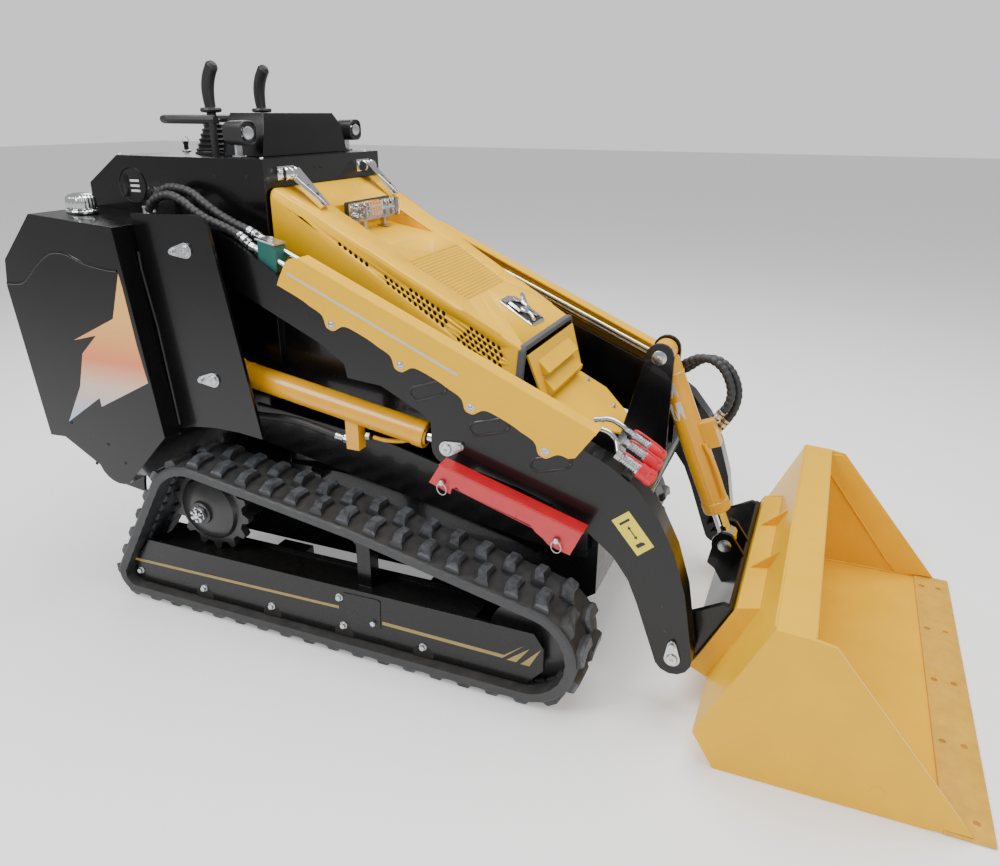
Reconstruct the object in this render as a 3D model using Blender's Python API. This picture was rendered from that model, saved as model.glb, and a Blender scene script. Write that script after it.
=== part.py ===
"""Stand-on compact track loader with lift arms, a bucket, rubber tracks and an opening hood.

Metres. +X points forwards to the bucket, +Y to the machine's left, +Z up, and the ground is z = 0.
"""

from math import atan2, cos, hypot, pi, radians, sin

import bmesh
import bpy
from mathutils import Matrix, Vector

# ---- Widths, from the middle of the machine outwards -------------------------------------------
BODY_HALF = 0.278  # half the width of the tower and the lower body
ARM_GAP = 0.042  # from the body's side to a lift arm
ARM_WIDTH = 0.060
ARM_PLATE = 0.008
PIN_PLATE_GAP = 0.050  # from a lift arm to the outer pin plate
PIN_PLATE = 0.010
TANK_STEP = 0.060  # from the pin plate out to the tank's side
TRACK_GAP = 0.047  # from the body's side to the belt
TRACK_WIDTH = 0.180
BUCKET_WIDTH = 1.050

ARM_IN = BODY_HALF + ARM_GAP
ARM_OUT = ARM_IN + ARM_WIDTH
ARM_MID = ARM_IN + ARM_WIDTH / 2
PIN_PLATE_IN = ARM_OUT + PIN_PLATE_GAP
PIN_PLATE_OUT = PIN_PLATE_IN + PIN_PLATE
TANK_OUT = PIN_PLATE_OUT + TANK_STEP
TRACK_IN = BODY_HALF + TRACK_GAP
TRACK_OUT = TRACK_IN + TRACK_WIDTH
TRACK_MID = TRACK_IN + TRACK_WIDTH / 2

# ---- Joint axes, all along Y, as (x, z) --------------------------------------------------------
ARM_PIVOT = (-0.678, 1.027)
LIFT_BASE = (-0.641, 0.703)
LIFT_EYE = (-0.005, 0.593)
BUCKET_PIN = (0.569, 0.154)
TILT_TOP = (0.420, 0.779)
TILT_EYE = (0.628, 0.295)
HOOD_HINGE = (-0.532, 1.195)
PLATFORM_HINGE = (-1.172, 0.268)

# ---- Tracks ------------------------------------------------------------------------------------
SPROCKET = (-0.725, 0.314)
SPROCKET_TEETH = 14
SPROCKET_WRAP = 0.168  # radius of the belt's outer face round the sprocket
IDLER = (0.238, 0.150)
IDLER_WRAP = 0.150
ROLLER_HEIGHT = 0.075
ROLLER_FIRST = -0.977
ROLLER_PITCH = 0.234
ROLLER_COUNT = 5
ROLLER_RADIUS = 0.036
CARRIER = (-0.229, 0.338)
CARRIER_WRAP = 0.067
BELT_THICKNESS = 0.037
FRAME_PLATE = 0.010
FRAME_INSET = 0.030  # from the belt's side to the frame's plate

# ---- Cylinders ---------------------------------------------------------------------------------
LIFT_BARREL_RADIUS = 0.0325
LIFT_ROD_RADIUS = 0.016
LIFT_BARREL_SHORT = 0.072  # from the end of the barrel to the rod's eye, arms down
LIFT_PORT_AT = 0.363  # from the barrel's pin to its port block
LIFT_PORT_HALF = 0.0185
LIFT_PORT_DROP = 0.103  # from the barrel's axis down to the block's lower face
TILT_BARREL_RADIUS = 0.034
TILT_PORT_AT = 0.235
TILT_PORT_HALF = 0.018
TILT_BOSSES = ((-0.020, 0.044, 0.034), (0.012, 0.068, 0.056))  # (along, end in y, hose in y)
TILT_BOSS_REACH = 0.055
TILT_BOSS_RADIUS = 0.011
TILT_ROD_RADIUS = 0.018
TILT_BARREL_LENGTH = 0.445
EYE_WIDTH = 0.036
EYE_RADIUS = 0.030
TILT_EYE_RADIUS = 0.026
TILT_EYE_WIDTH = 0.060
PIN_RADIUS = 0.0125
BORE_CLEARANCE = 0.0010

# ---- Bucket and its mounting plate -------------------------------------------------------------
BUCKET_HEEL = (0.698, 0.001)
BUCKET_BACK_LOW = (0.647, 0.084)
BUCKET_BACK_TOP = (0.786, 0.388)
BUCKET_LIP_FRONT = (0.861, 0.383)
BUCKET_SIDE_TOP = (0.902, 0.376)  # where the side plate's front edge starts
BUCKET_FRONT = (1.206, 0.014)
BUCKET_SHEET = 0.006
BUCKET_SIDE = 0.008
CUTTING_EDGE_REAR = 1.154
CUTTING_EDGE_TIP = 1.250
CUTTING_EDGE = 0.012
FRAME_HALF = 0.310  # half the width of the bucket's back frame
GUSSET_AT = 0.117
ATTACH_PLATE = 0.010
ATTACH_HALF = 0.300
EAR_INNER = 0.037
EAR = 0.012

COUPLERS = ((-0.362, 0.446, 0.616, 0.017), (-0.330, 0.452, 0.634, 0.015),
            (-0.302, 0.454, 0.648, 0.013))  # (y, x, z, radius)

# ---- Body --------------------------------------------------------------------------------------
TOWER_FRONT = -0.549
TOWER_REAR = -1.133
TOWER_TOP = 1.233
TUB_TOP = 0.420
HOOD_REAR = -0.542
HOOD_FRONT = 0.115
HOOD_SHEET = 0.004
HOOD_HALF = (0.268, 0.215)  # at the hood's rear end and at its front end, as the next four
HOOD_LOW = (0.930, 0.655)
HOOD_FOLD = (1.150, 0.690)
HOOD_CREASE_HALF = (0.180, 0.185)
HOOD_CREASE = (1.162, 0.800)
RECESS_REAR = -0.450
RECESS_FRONT = -0.288
RECESS_FLOOR = 1.050  # at the rear of the recess
RECESS_HALF = 0.128
LAMP_HALF = 0.110
WALL_INSET = 0.006  # from the hood's side in to the wall under it
WALL = 0.008
ENGINE_BAY_FRONT = 0.070
LOUVRE_TOP = (0.121, 0.785)
LOUVRE_LOW = (0.161, 0.662)
LOUVRE_HALF = (0.160, 0.181)  # at the panel's lower edge and at its top
DECK_PLAN = ((0.155, 0.148), (0.238, 0.148), (0.315, 0.080), (0.335, 0.055))  # (x, half width)
DECK_TOP = 0.660  # at the deck's rear
DECK_SLOPE = 0.50
DECK_SHEET = 0.006
TANK_REAR = -1.250
FENDER_RADIUS = 0.224
FENDER_AT = 0.430
FENDER_PLATE = 0.009

# ---- Pipes and hoses ---------------------------------------------------------------------------
ARM_PIPES = ((0.010, (-0.534, 1.052), (0.330, 0.683)),  # (in from the arm, rear end, front end)
             (0.038, (-0.544, 1.036), (0.330, 0.660)))
REAR_CLAMP = ((-0.524, 0.990), (-0.500, 0.955), (-0.466, 0.955), (-0.462, 1.026), (-0.470, 1.043),
              (-0.516, 1.055))
ARM_PIPE_RADIUS = 0.0065
HOSE_RADIUS = 0.0105

GAP = 0.0006  # between pieces that touch on the real machine
SIDES = (("right", -1), ("left", 1))

YELLOW = ("yellow_paint", (0.90, 0.55, 0.01), 0.35, 0.0)
BLACK = ("black_paint", (0.012, 0.012, 0.013), 0.30, 0.0)
RUBBER = ("rubber", (0.020, 0.021, 0.024), 0.75, 0.0)
ZINC = ("zinc", (0.62, 0.63, 0.62), 0.35, 0.9)
CHROME = ("chrome", (0.80, 0.80, 0.80), 0.08, 1.0)
RED = ("red_paint", (0.70, 0.02, 0.03), 0.40, 0.0)
PLASTIC = ("black_plastic", (0.018, 0.018, 0.020), 0.50, 0.0)
LENS = ("lens", (0.75, 0.76, 0.76), 0.10, 0.0)
CAST = ("cast_iron", (0.045, 0.045, 0.048), 0.55, 0.3)


# ---- Making shapes -----------------------------------------------------------------------------
HANDLE_HEIGHT = 1.322
LEVER_X = -0.834
LEVER_Y = 0.108
FILLER = (-1.045, 0.395)
GUARD_BOLTS = [(-0.307, 0.868), (-0.123, 0.789), (0.059, 0.709), (0.242, 0.630)]
GUARD_SHEET = 0.004
GUARD_EDGE = ((-0.400, 1.0185), (0.361, 0.6855))
EAR_TOP_IN = 0.040
BULKHEAD_FRONT = 0.425
HOOK_REAR = (0.694, 0.286)
FLANGE_REAR = (0.603, 0.098)
# Each route is (x, y, z) on the left side, from the machine's end to the moving end.
UPPER_HOSE = [(-0.876, 0.325, 1.0832), (-0.873, 0.325, 1.105), (-0.859, 0.325, 1.133),
              (-0.830, 0.325, 1.154), (-0.797, 0.325, 1.161), (-0.743, 0.326, 1.152),
              (-0.699, 0.327, 1.126), (-0.655, 0.328, 1.101), (-0.612, 0.330, 1.083),
              (-0.570, 0.330, 1.068), (-0.5368, 0.330, 1.0535)]
LOWER_HOSE = [(-0.853, 0.366, 1.0817), (-0.850, 0.366, 1.104), (-0.826, 0.366, 1.132),
              (-0.778, 0.366, 1.147), (-0.735, 0.366, 1.134), (-0.700, 0.366, 1.112),
              (-0.665, 0.365, 1.094), (-0.622, 0.362, 1.079), (-0.580, 0.359, 1.061),
              (-0.5468, 0.358, 1.0392)]
CYLINDER_HOSE = [(-0.690, BODY_HALF + 0.002, 0.604), (-0.690, 0.296, 0.604), (-0.672, 0.324, 0.599),
                 (-0.632, 0.344, 0.588), (-0.588, 0.350, 0.583), (-0.509, 0.350, 0.586),
                 (-0.452, 0.350, 0.584), (-0.406, 0.350, 0.576), (-0.355, 0.350, 0.566),
                 (-0.3045, 0.350, 0.557)]
TILT_HOSE_PATHS = (
    [(0.066, 0.722), (0.066, 0.742, 0.470), (0.064, 0.757, 0.499), (0.058, 0.757, 0.535),
     (0.050, 0.735, 0.568), (0.042, 0.690, 0.590), (0.036, 0.648, 0.586)],
    [(0.090, 0.700), (0.090, 0.722, 0.472), (0.088, 0.748, 0.507), (0.082, 0.752, 0.546),
     (0.074, 0.728, 0.584), (0.066, 0.680, 0.606), (0.058, 0.628, 0.600)],
)  # (y, z, x) for each hose, and the first point's x is the bulkhead's face


def clear_scene():
    for item in list(bpy.data.objects):
        bpy.data.objects.remove(item, do_unlink=True)


def paint(finish):
    name, colour, roughness, metallic = finish
    made = bpy.data.materials.get(name)
    if made:
        return made
    made = bpy.data.materials.new(name)
    made.use_nodes = True
    shader = made.node_tree.nodes["Principled BSDF"]
    shader.inputs["Base Color"].default_value = (*colour, 1.0)
    shader.inputs["Roughness"].default_value = roughness
    shader.inputs["Metallic"].default_value = metallic
    return made


def finished(name, shape, finish, smooth=True):
    """Turns a bmesh into an object, with its faces pointing out."""
    bmesh.ops.remove_doubles(shape, verts=shape.verts, dist=1e-6)
    bmesh.ops.recalc_face_normals(shape, faces=shape.faces)
    mesh = bpy.data.meshes.new(name)
    shape.to_mesh(mesh)
    shape.free()
    if smooth:
        mesh.shade_smooth()
        mesh.set_sharp_from_angle(angle=radians(35))
    made = bpy.data.objects.new(name, mesh)
    made.data.materials.append(paint(finish))
    bpy.context.scene.collection.objects.link(made)
    return made


def prism(name, outline, low, high, finish=BLACK):
    """An outline in (x, z), carried along Y from low to high."""
    shape = bmesh.new()
    corners = [shape.verts.new((x, low, z)) for x, z in outline]
    face = shape.faces.new(corners)
    grown = bmesh.ops.extrude_face_region(shape, geom=[face])
    moved = [item for item in grown["geom"] if isinstance(item, bmesh.types.BMVert)]
    bmesh.ops.translate(shape, verts=moved, vec=(0, high - low, 0))
    return finished(name, shape, finish)


def side_prism(name, outline, side, inner, outer, finish=BLACK):
    low, high = sorted((side * inner, side * outer))
    return prism(name, outline, low, high, finish)


def block(name, low, high, finish=BLACK, bevel=0.0):
    shape = bmesh.new()
    bmesh.ops.create_cube(shape, size=1.0)
    size = Vector(high) - Vector(low)
    middle = (Vector(high) + Vector(low)) / 2
    bmesh.ops.scale(shape, verts=shape.verts, vec=size)
    bmesh.ops.translate(shape, verts=shape.verts, vec=middle)
    if bevel:
        bmesh.ops.bevel(shape, geom=shape.edges[:], offset=bevel, segments=2,
                        affect="EDGES", profile=0.5)
    return finished(name, shape, finish)


def side_block(name, x, z, side, inner, outer, finish=BLACK, bevel=0.0):
    low, high = sorted((side * inner, side * outer))
    return block(name, (x[0], low, z[0]), (x[1], high, z[1]), finish, bevel)


def loft(name, rings, finish=BLACK):
    """A solid through rings of corners, each with as many corners as the last."""
    shape = bmesh.new()
    layers = [[shape.verts.new(spot) for spot in ring] for ring in rings]
    shape.faces.new(layers[0])
    shape.faces.new(layers[-1])
    for ring, after in zip(layers, layers[1:]):
        for number in range(len(ring)):
            following = (number + 1) % len(ring)
            shape.faces.new((ring[number], ring[following], after[following], after[number]))
    return finished(name, shape, finish)


def rod(name, start, end, radius, finish=BLACK, sides=24):
    """A round bar between two points."""
    start, end = Vector(start), Vector(end)
    along = end - start
    turn = along.to_track_quat("Z", "Y").to_matrix().to_4x4()
    shape = bmesh.new()
    bmesh.ops.create_cone(shape, cap_ends=True, segments=sides, radius1=radius, radius2=radius,
                          depth=along.length, matrix=Matrix.Translation((start + end) / 2) @ turn)
    return finished(name, shape, finish)


def cross_rod(name, at, low, high, radius, finish=BLACK, sides=24):
    """A round bar along Y through the point at = (x, z)."""
    return rod(name, (at[0], low, at[1]), (at[0], high, at[1]), radius, finish, sides)


def turned(name, profile, centres, finish=BLACK, sides=32):
    """Rings of (y, radius) turned about an axis along Y, one copy at each (x, z)."""
    shape = bmesh.new()
    for x, z in centres:
        start = [shape.verts.new((x, y, z + radius)) for y, radius in profile]
        edges = [shape.edges.new(pair) for pair in zip(start, start[1:])]
        bmesh.ops.spin(shape, geom=start + edges, cent=(x, 0, z), axis=(0, 1, 0),
                       angle=2 * pi, steps=sides, use_merge=True)
    bmesh.ops.remove_doubles(shape, verts=shape.verts, dist=1e-5)
    return finished(name, shape, finish)


def tube(name, points, radius, finish=RUBBER, rings=2):
    """A round tube along points, with flat ends."""
    curve = bpy.data.curves.new(name + "_path", "CURVE")
    curve.dimensions = "3D"
    curve.bevel_depth = radius
    curve.bevel_resolution = rings
    curve.use_fill_caps = True
    line = curve.splines.new("POLY")
    line.points.add(len(points) - 1)
    for spot, point in zip(line.points, points):
        spot.co = (*point, 1.0)
    guide = bpy.data.objects.new(name + "_guide", curve)
    mesh = bpy.data.meshes.new_from_object(guide)
    bpy.data.objects.remove(guide)
    shape = bmesh.new()
    shape.from_mesh(mesh)
    bmesh.ops.remove_doubles(shape, verts=shape.verts, dist=1e-5)
    return finished(name, shape, finish)


def smooth_path(points, steps):
    """A Catmull-Rom curve through the points, with this many steps between each two."""
    spots = [Vector(point) for point in points]
    spots = [2 * spots[0] - spots[1]] + spots + [2 * spots[-1] - spots[-2]]
    path = []
    for a, b, c, d in zip(spots, spots[1:], spots[2:], spots[3:]):
        for step in range(steps):
            t = step / steps
            path.append(0.5 * (2 * b + (c - a) * t + (2 * a - 5 * b + 4 * c - d) * t**2
                               + (3 * b - a - 3 * c + d) * t**3))
    path.append(spots[-2])
    return path


def boolean(base, tool, operation):
    tool.hide_render = True
    tool.display_type = "WIRE"
    step = base.modifiers.new(tool.name, "BOOLEAN")
    step.operation = operation
    step.solver = "EXACT"
    step.object = tool
    return base


def fuse(base, *tools):
    for tool in tools:
        boolean(base, tool, "UNION")
    return base


def cut(base, *tools):
    for tool in tools:
        boolean(base, tool, "DIFFERENCE")
    return base


def arc(centre, radius, first, last, steps):
    """Points on a circle in (x, z), from one angle to another in degrees."""
    spots = []
    for step in range(steps + 1):
        angle = radians(first + (last - first) * step / steps)
        spots.append((centre[0] + radius * cos(angle), centre[1] + radius * sin(angle)))
    return spots


def wrapped(circles, steps=36):
    """The outline of a band stretched round circles, each (centre, radius)."""
    points = sorted(spot for centre, radius in circles
                    for spot in arc(centre, radius, 0, 360 - 360 / steps, steps - 1))

    def half(ordered):
        chain = []
        for point in ordered:
            while len(chain) > 1:
                (ax, az), (bx, bz) = chain[-2], chain[-1]
                turn = (bx - ax) * (point[1] - az) - (bz - az) * (point[0] - ax)
                if turn > 1e-9:
                    break
                chain.pop()
            chain.append(point)
        return chain[:-1]

    return half(points) + half(points[::-1])


def between(start, end, share):
    return (start[0] + (end[0] - start[0]) * share, start[1] + (end[1] - start[1]) * share)


def beyond(start, end, distance):
    """The point this far from start, on the line to end."""
    return between(start, end, distance / hypot(end[0] - start[0], end[1] - start[1]))


def pivot(name, at):
    """An empty on a joint's axis. What turns on the joint hangs from it."""
    empty = bpy.data.objects.new(name, None)
    empty.location = (at[0], 0, at[1])
    bpy.context.scene.collection.objects.link(empty)
    return empty


def hang(empty, *pieces):
    """Moves each piece's origin, and those of its tools, to the empty and parents it there."""
    for piece in pieces:
        family = [piece] + [step.object for step in piece.modifiers if step.type == "BOOLEAN"]
        for member in family:
            member.data.transform(Matrix.Translation(-empty.location))
            member.parent = empty


# ---- Tracks ------------------------------------------------------------------------------------


def belt_circles(inset):
    rear_roller = (ROLLER_FIRST, ROLLER_HEIGHT)
    return [(SPROCKET, SPROCKET_WRAP - inset), (rear_roller, ROLLER_HEIGHT - inset),
            (IDLER, IDLER_WRAP - inset), (CARRIER, CARRIER_WRAP - inset)]


def track(name, side):
    belt = side_prism(name, wrapped(belt_circles(0)), side, TRACK_IN, TRACK_OUT, RUBBER)
    hollow = side_prism(name + "_hollow", wrapped(belt_circles(BELT_THICKNESS)), side,
                        TRACK_IN - 0.01, TRACK_OUT + 0.01)
    return cut(belt, hollow)


def frame_outline():
    rear, front = ROLLER_FIRST, IDLER[0]
    low = BELT_THICKNESS + 0.010
    return [(rear, low), (front, low), (front + 0.045, low + 0.05), (front + 0.045, 0.160),
            (front + 0.02, 0.197), (rear + 0.052, 0.192), (rear - 0.019, 0.110), (rear - 0.019, 0.068)]


def track_frame(name, side):
    """Two long plates with a cover between them, the bottom rollers and the arms to the body."""
    outer = TRACK_OUT - FRAME_INSET
    inner = TRACK_IN + FRAME_INSET
    frame = side_prism(name, frame_outline(), side, outer - FRAME_PLATE, outer)
    inside = side_prism(name + "_inner", frame_outline(), side, inner, inner + FRAME_PLATE)
    front = IDLER[0] - IDLER_WRAP + BELT_THICKNESS - 0.03
    cover = side_block(name + "_cover", (ROLLER_FIRST + 0.06, front), (0.150, 0.185), side,
                       inner + 0.002, outer - 0.002)
    centres = [(ROLLER_FIRST + ROLLER_PITCH * number, ROLLER_HEIGHT)
               for number in range(ROLLER_COUNT)]
    axle = 0.012
    profile = [(inner + 0.003, 0), (inner + 0.003, axle), (inner + 0.022, axle),
               (inner + 0.022, ROLLER_RADIUS), (outer - 0.022, ROLLER_RADIUS),
               (outer - 0.022, axle), (outer - 0.003, axle), (outer - 0.003, 0)]
    rollers = turned(name + "_rollers", [(side * y, r) for y, r in profile], centres, CAST, 20)
    stays = []
    for number, x in enumerate((-0.55, -0.05)):
        stays.append(side_block(f"{name}_stay_{number}", (x - 0.05, x + 0.05), (0.085, 0.165), side,
                                BODY_HALF + GAP, inner + 0.004))
    post = side_block(name + "_carrier_post", (CARRIER[0] - 0.02, CARRIER[0] + 0.02),
                      (0.180, CARRIER[1]), side, inner + 0.04, outer - 0.04)
    wheel = cross_rod(name + "_carrier", CARRIER, side * (inner + 0.03), side * (outer - 0.03),
                      CARRIER_WRAP - BELT_THICKNESS - GAP, CAST)
    return fuse(frame, inside, cover, rollers, *stays, post, wheel)


def sprocket(name, side):
    root, tip = SPROCKET_WRAP - BELT_THICKNESS - 0.022, SPROCKET_WRAP - BELT_THICKNESS - 0.002
    outline = []
    for tooth in range(SPROCKET_TEETH):
        start = 360 / SPROCKET_TEETH * tooth
        for share, radius in ((0.0, root), (0.35, root), (0.55, tip), (0.80, tip)):
            turn = radians(start + share * 360 / SPROCKET_TEETH)
            outline.append((SPROCKET[0] + radius * cos(turn), SPROCKET[1] + radius * sin(turn)))
    disc = side_prism(name, outline, side, TRACK_MID - 0.012, TRACK_MID + 0.012, CAST)
    profile = [(BODY_HALF + GAP, 0), (BODY_HALF + GAP, 0.085), (TRACK_MID, 0.085),
               (TRACK_MID + 0.004, 0.098), (TRACK_MID + 0.024, 0.088), (TRACK_MID + 0.038, 0.060),
               (TRACK_MID + 0.042, 0.034), (TRACK_MID + 0.052, 0.032), (TRACK_MID + 0.052, 0.018),
               (TRACK_MID + 0.066, 0.018), (TRACK_MID + 0.066, 0)]
    hub = turned(name + "_hub", [(side * y, r) for y, r in profile], [SPROCKET], CAST, 32)
    return fuse(disc, hub)


def idler(name, side):
    inner = TRACK_IN + FRAME_INSET + FRAME_PLATE + GAP
    outer = TRACK_OUT - FRAME_INSET - FRAME_PLATE - GAP
    rim = IDLER_WRAP - BELT_THICKNESS - 0.002
    profile = [(inner, 0), (inner, 0.03), (inner + 0.02, 0.03), (inner + 0.024, rim),
               (outer - 0.024, rim), (outer - 0.02, 0.03), (outer, 0.03), (outer, 0)]
    return turned(name, [(side * y, r) for y, r in profile], [IDLER], CAST, 36)


# ---- Body --------------------------------------------------------------------------------------


def hood_at(x, ends):
    """A measure of the hood at x, from its values at the rear end and at the front end."""
    return ends[0] + (ends[1] - ends[0]) * (x - HOOD_REAR) / (HOOD_FRONT - HOOD_REAR)


def wall_ring(x, low, high, inset):
    half = hood_at(x, HOOD_HALF) - WALL_INSET - inset
    return [(x, -half, low), (x, half, low), (x, half, high), (x, -half, high)]


def chassis_frame():
    """The lower body, the walls under the hood and the nose under the front deck."""
    tub = [(-1.120, TUB_TOP), (-1.120, 0.290), (-1.000, 0.170), (0.290, 0.170), (0.350, 0.215),
           (0.350, 0.400), (0.330, TUB_TOP)]
    frame = prism("chassis_frame", tub, -BODY_HALF, BODY_HALF)
    rear, buried = TOWER_FRONT + GAP, TUB_TOP - 0.05
    upper = loft("chassis_walls", [wall_ring(x, buried, hood_at(x, HOOD_LOW) - WALL_INSET, 0)
                                   for x in (rear, HOOD_FRONT)])
    bay = loft("engine_bay", [wall_ring(x, TUB_TOP, TOWER_TOP, WALL)
                              for x in (rear - 0.01, ENGINE_BAY_FRONT)])
    nose = loft("chassis_nose", [plan_ring(lambda x: buried, -0.006),
                                 plan_ring(lambda x: deck_at(x) - GAP, -0.006)])
    bridge = loft("chassis_nose_bridge",
                  [[(x, y, z) for y, z in ((-0.14, buried), (0.14, buried), (0.14, 0.63), (-0.14, 0.63))]
                   for x in (HOOD_FRONT - 0.02, DECK_PLAN[0][0] + 0.004)])
    frame = cut(fuse(frame, upper, nose, bridge), bay)
    for name, side in SIDES:
        skirt = side_prism(name + "_skirt", skirt_outline(), side, BODY_HALF + 0.022,
                           BODY_HALF + 0.032)
        lug_x = (-0.45, -0.15, 0.15)
        lugs = [side_block(f"{name}_skirt_stay_{x}", (x - 0.015, x + 0.015), (0.40, 0.43), side,
                           BODY_HALF - 0.01, BODY_HALF + 0.025) for x in lug_x]
        fuse(frame, skirt, *lugs)
    return frame


def deck_at(x):
    """Height of the underside of the front deck."""
    return DECK_TOP - DECK_SHEET - DECK_SLOPE * (x - DECK_PLAN[0][0])


def plan_ring(height, grow):
    """The front deck's outline in plan, grown by this much, at height(x)."""
    right = [(x + (grow if number else 0), -half - grow) for number, (x, half) in enumerate(DECK_PLAN)]
    return [(x, y, height(x)) for x, y in right + [(x, -y) for x, y in right[::-1]]]


def skirt_outline():
    """The long plate above each belt."""
    return [(-0.620, 0.600), (-0.620, 0.492), (-0.142, 0.402), (0.180, 0.345), (0.330, 0.330),
            (0.330, 0.400), (0.240, 0.440), (-0.020, 0.500), (-0.200, 0.545)]


def front_deck():
    return loft("front_deck", [plan_ring(deck_at, 0), plan_ring(lambda x: deck_at(x) + DECK_SHEET, 0)],
                YELLOW)


def louvre_panel():
    """The sloping panel that closes the front of the engine bay."""
    (top_x, top_z), (low_x, low_z) = LOUVRE_TOP, LOUVRE_LOW
    rings = []
    for x, z, half in ((low_x, low_z, LOUVRE_HALF[0]), (top_x, top_z, LOUVRE_HALF[1])):
        rear = x - DECK_SHEET
        rings.append([(rear, -half, z), (x, -half, z), (x, half, z), (rear, half, z)])
    return loft("louvre_panel", rings, YELLOW)


def engine_block():
    return block("engine_block", (-0.420, -0.190, TUB_TOP + GAP), (-0.020, 0.190, 0.700), CAST, 0.012)


def control_tower():
    outline = [(TOWER_FRONT, TUB_TOP + GAP), (TOWER_FRONT, TOWER_TOP), (-1.022, TOWER_TOP),
               (TOWER_REAR, 1.160), (TOWER_REAR, 0.520), (-1.118, TUB_TOP + GAP)]
    return prism("control_tower", outline, -BODY_HALF, BODY_HALF)


def dash_box():
    """The console's housing: narrower at the top than at the bottom."""
    low, high = TOWER_TOP + GAP, 1.339
    rings = [(low, -0.735, -0.607, 0.197), (high - 0.03, -0.735, -0.611, 0.176),
             (high, -0.729, -0.625, 0.158)]
    return loft("dash_box", [[(rear, -half, z), (front, -half, z), (front, half, z), (rear, half, z)]
                             for z, rear, front, half in rings])


def handle_bar():
    """A bar looped round the levers, on two posts."""
    radius, half, rear, front = 0.011, 0.205, -0.935, -0.738
    loop = [(front, -half, HANDLE_HEIGHT)]
    loop += [(rear + 0.04 - 0.04 * sin(turn), -half + 0.04 - 0.04 * cos(turn), HANDLE_HEIGHT)
             for turn in (0, pi / 6, pi / 3, pi / 2)]
    loop += [(x, -y, z) for x, y, z in loop[::-1]]
    bar = tube("handle_bar", loop, radius, PLASTIC)
    posts = [rod(f"{name}_handle_post", (front - 0.012, side * half, TOWER_TOP + GAP),
                 (front - 0.012, side * half, HANDLE_HEIGHT + 0.004), 0.009, PLASTIC, 16)
             for name, side in SIDES]
    return fuse(bar, *posts)


def lever(name, side):
    """A joystick: rubber bellows, a collar and a grip that leans forwards."""
    y = side * LEVER_Y
    foot = TOWER_TOP + GAP
    rings = [(0.0, 0.052), (0.020, 0.052), (0.070, 0.030), (0.100, 0.016), (0.112, 0.012)]
    shape = bmesh.new()
    start = [shape.verts.new((LEVER_X, y, foot))]
    start += [shape.verts.new((LEVER_X + radius, y, foot + up)) for up, radius in rings]
    start += [shape.verts.new((LEVER_X, y, foot + rings[-1][0]))]
    edges = [shape.edges.new(pair) for pair in zip(start, start[1:])]
    bmesh.ops.spin(shape, geom=start + edges, cent=(LEVER_X, y, 0), axis=(0, 0, 1),
                   angle=2 * pi, steps=20, use_merge=True)
    bmesh.ops.remove_doubles(shape, verts=shape.verts, dist=1e-5)
    boot = finished(name, shape, PLASTIC)
    collar = rod(name + "_collar", (LEVER_X, y, 1.340), (LEVER_X, y, 1.352), 0.026, PLASTIC, 20)
    grip_path = smooth_path([(LEVER_X, y, 1.346), (LEVER_X - 0.004, y, 1.390),
                             (LEVER_X + 0.004, y, 1.430), (LEVER_X + 0.024, y, 1.463)], 4)
    grip = tube(name + "_grip", grip_path, 0.0155, PLASTIC, 3)
    return fuse(boot, collar, grip)


def headlight(name, side):
    middle = side * 0.248
    shell = block(name, (-0.672, middle - 0.030, 1.262), (-0.602, middle + 0.030, 1.322), PLASTIC, 0.012)
    foot = block(name + "_foot", (-0.650, middle - 0.012, TOWER_TOP + GAP),
                 (-0.628, middle + 0.012, 1.270), ZINC)
    return fuse(shell, foot)


def tank_outline():
    bottom = arc((-0.965, 0.445), 0.072, -160, -65, 6)
    return ([(-1.116, 1.099), (TANK_REAR + 0.014, 0.977), (TANK_REAR, 0.905), (-1.204, 0.484),
             (-1.148, 0.487)] + bottom + [(-0.776, 0.542), (-0.841, 1.080)])


def tank(name, side):
    """The tank beside the tower, with the plate that covers the belt behind the sprocket."""
    body = side_prism(name, tank_outline(), side, BODY_HALF + GAP, TANK_OUT)
    plate = arc(SPROCKET, FENDER_RADIUS, 104, 177, 10) + [(-1.018, 0.335), (-1.020, 0.420),
                                                         (-0.990, 0.470), (-0.800, 0.560)]
    return fuse(body, side_prism(name + "_fender", plate, side, FENDER_AT, FENDER_AT + FENDER_PLATE))


def filler_cap(name, side):
    x, y = FILLER
    foot = 1.0945
    rings = [(0.0, 0.040), (0.012, 0.040), (0.014, 0.034), (0.034, 0.036), (0.046, 0.028),
             (0.050, 0.012)]
    shape = bmesh.new()
    start = [shape.verts.new((x, side * y, foot))]
    start += [shape.verts.new((x + radius, side * y, foot + up)) for up, radius in rings]
    start += [shape.verts.new((x, side * y, foot + rings[-1][0]))]
    edges = [shape.edges.new(pair) for pair in zip(start, start[1:])]
    bmesh.ops.spin(shape, geom=start + edges, cent=(x, side * y, 0), axis=(0, 0, 1),
                   angle=2 * pi, steps=24, use_merge=True)
    bmesh.ops.remove_doubles(shape, verts=shape.verts, dist=1e-5)
    cap = finished(name, shape, CHROME)
    under = side_prism(name + "_seat", tank_outline(), side, BODY_HALF, TANK_OUT + 0.01)
    under.data.transform(Matrix.Translation((0, 0, GAP)))
    return cut(cap, under)


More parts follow.
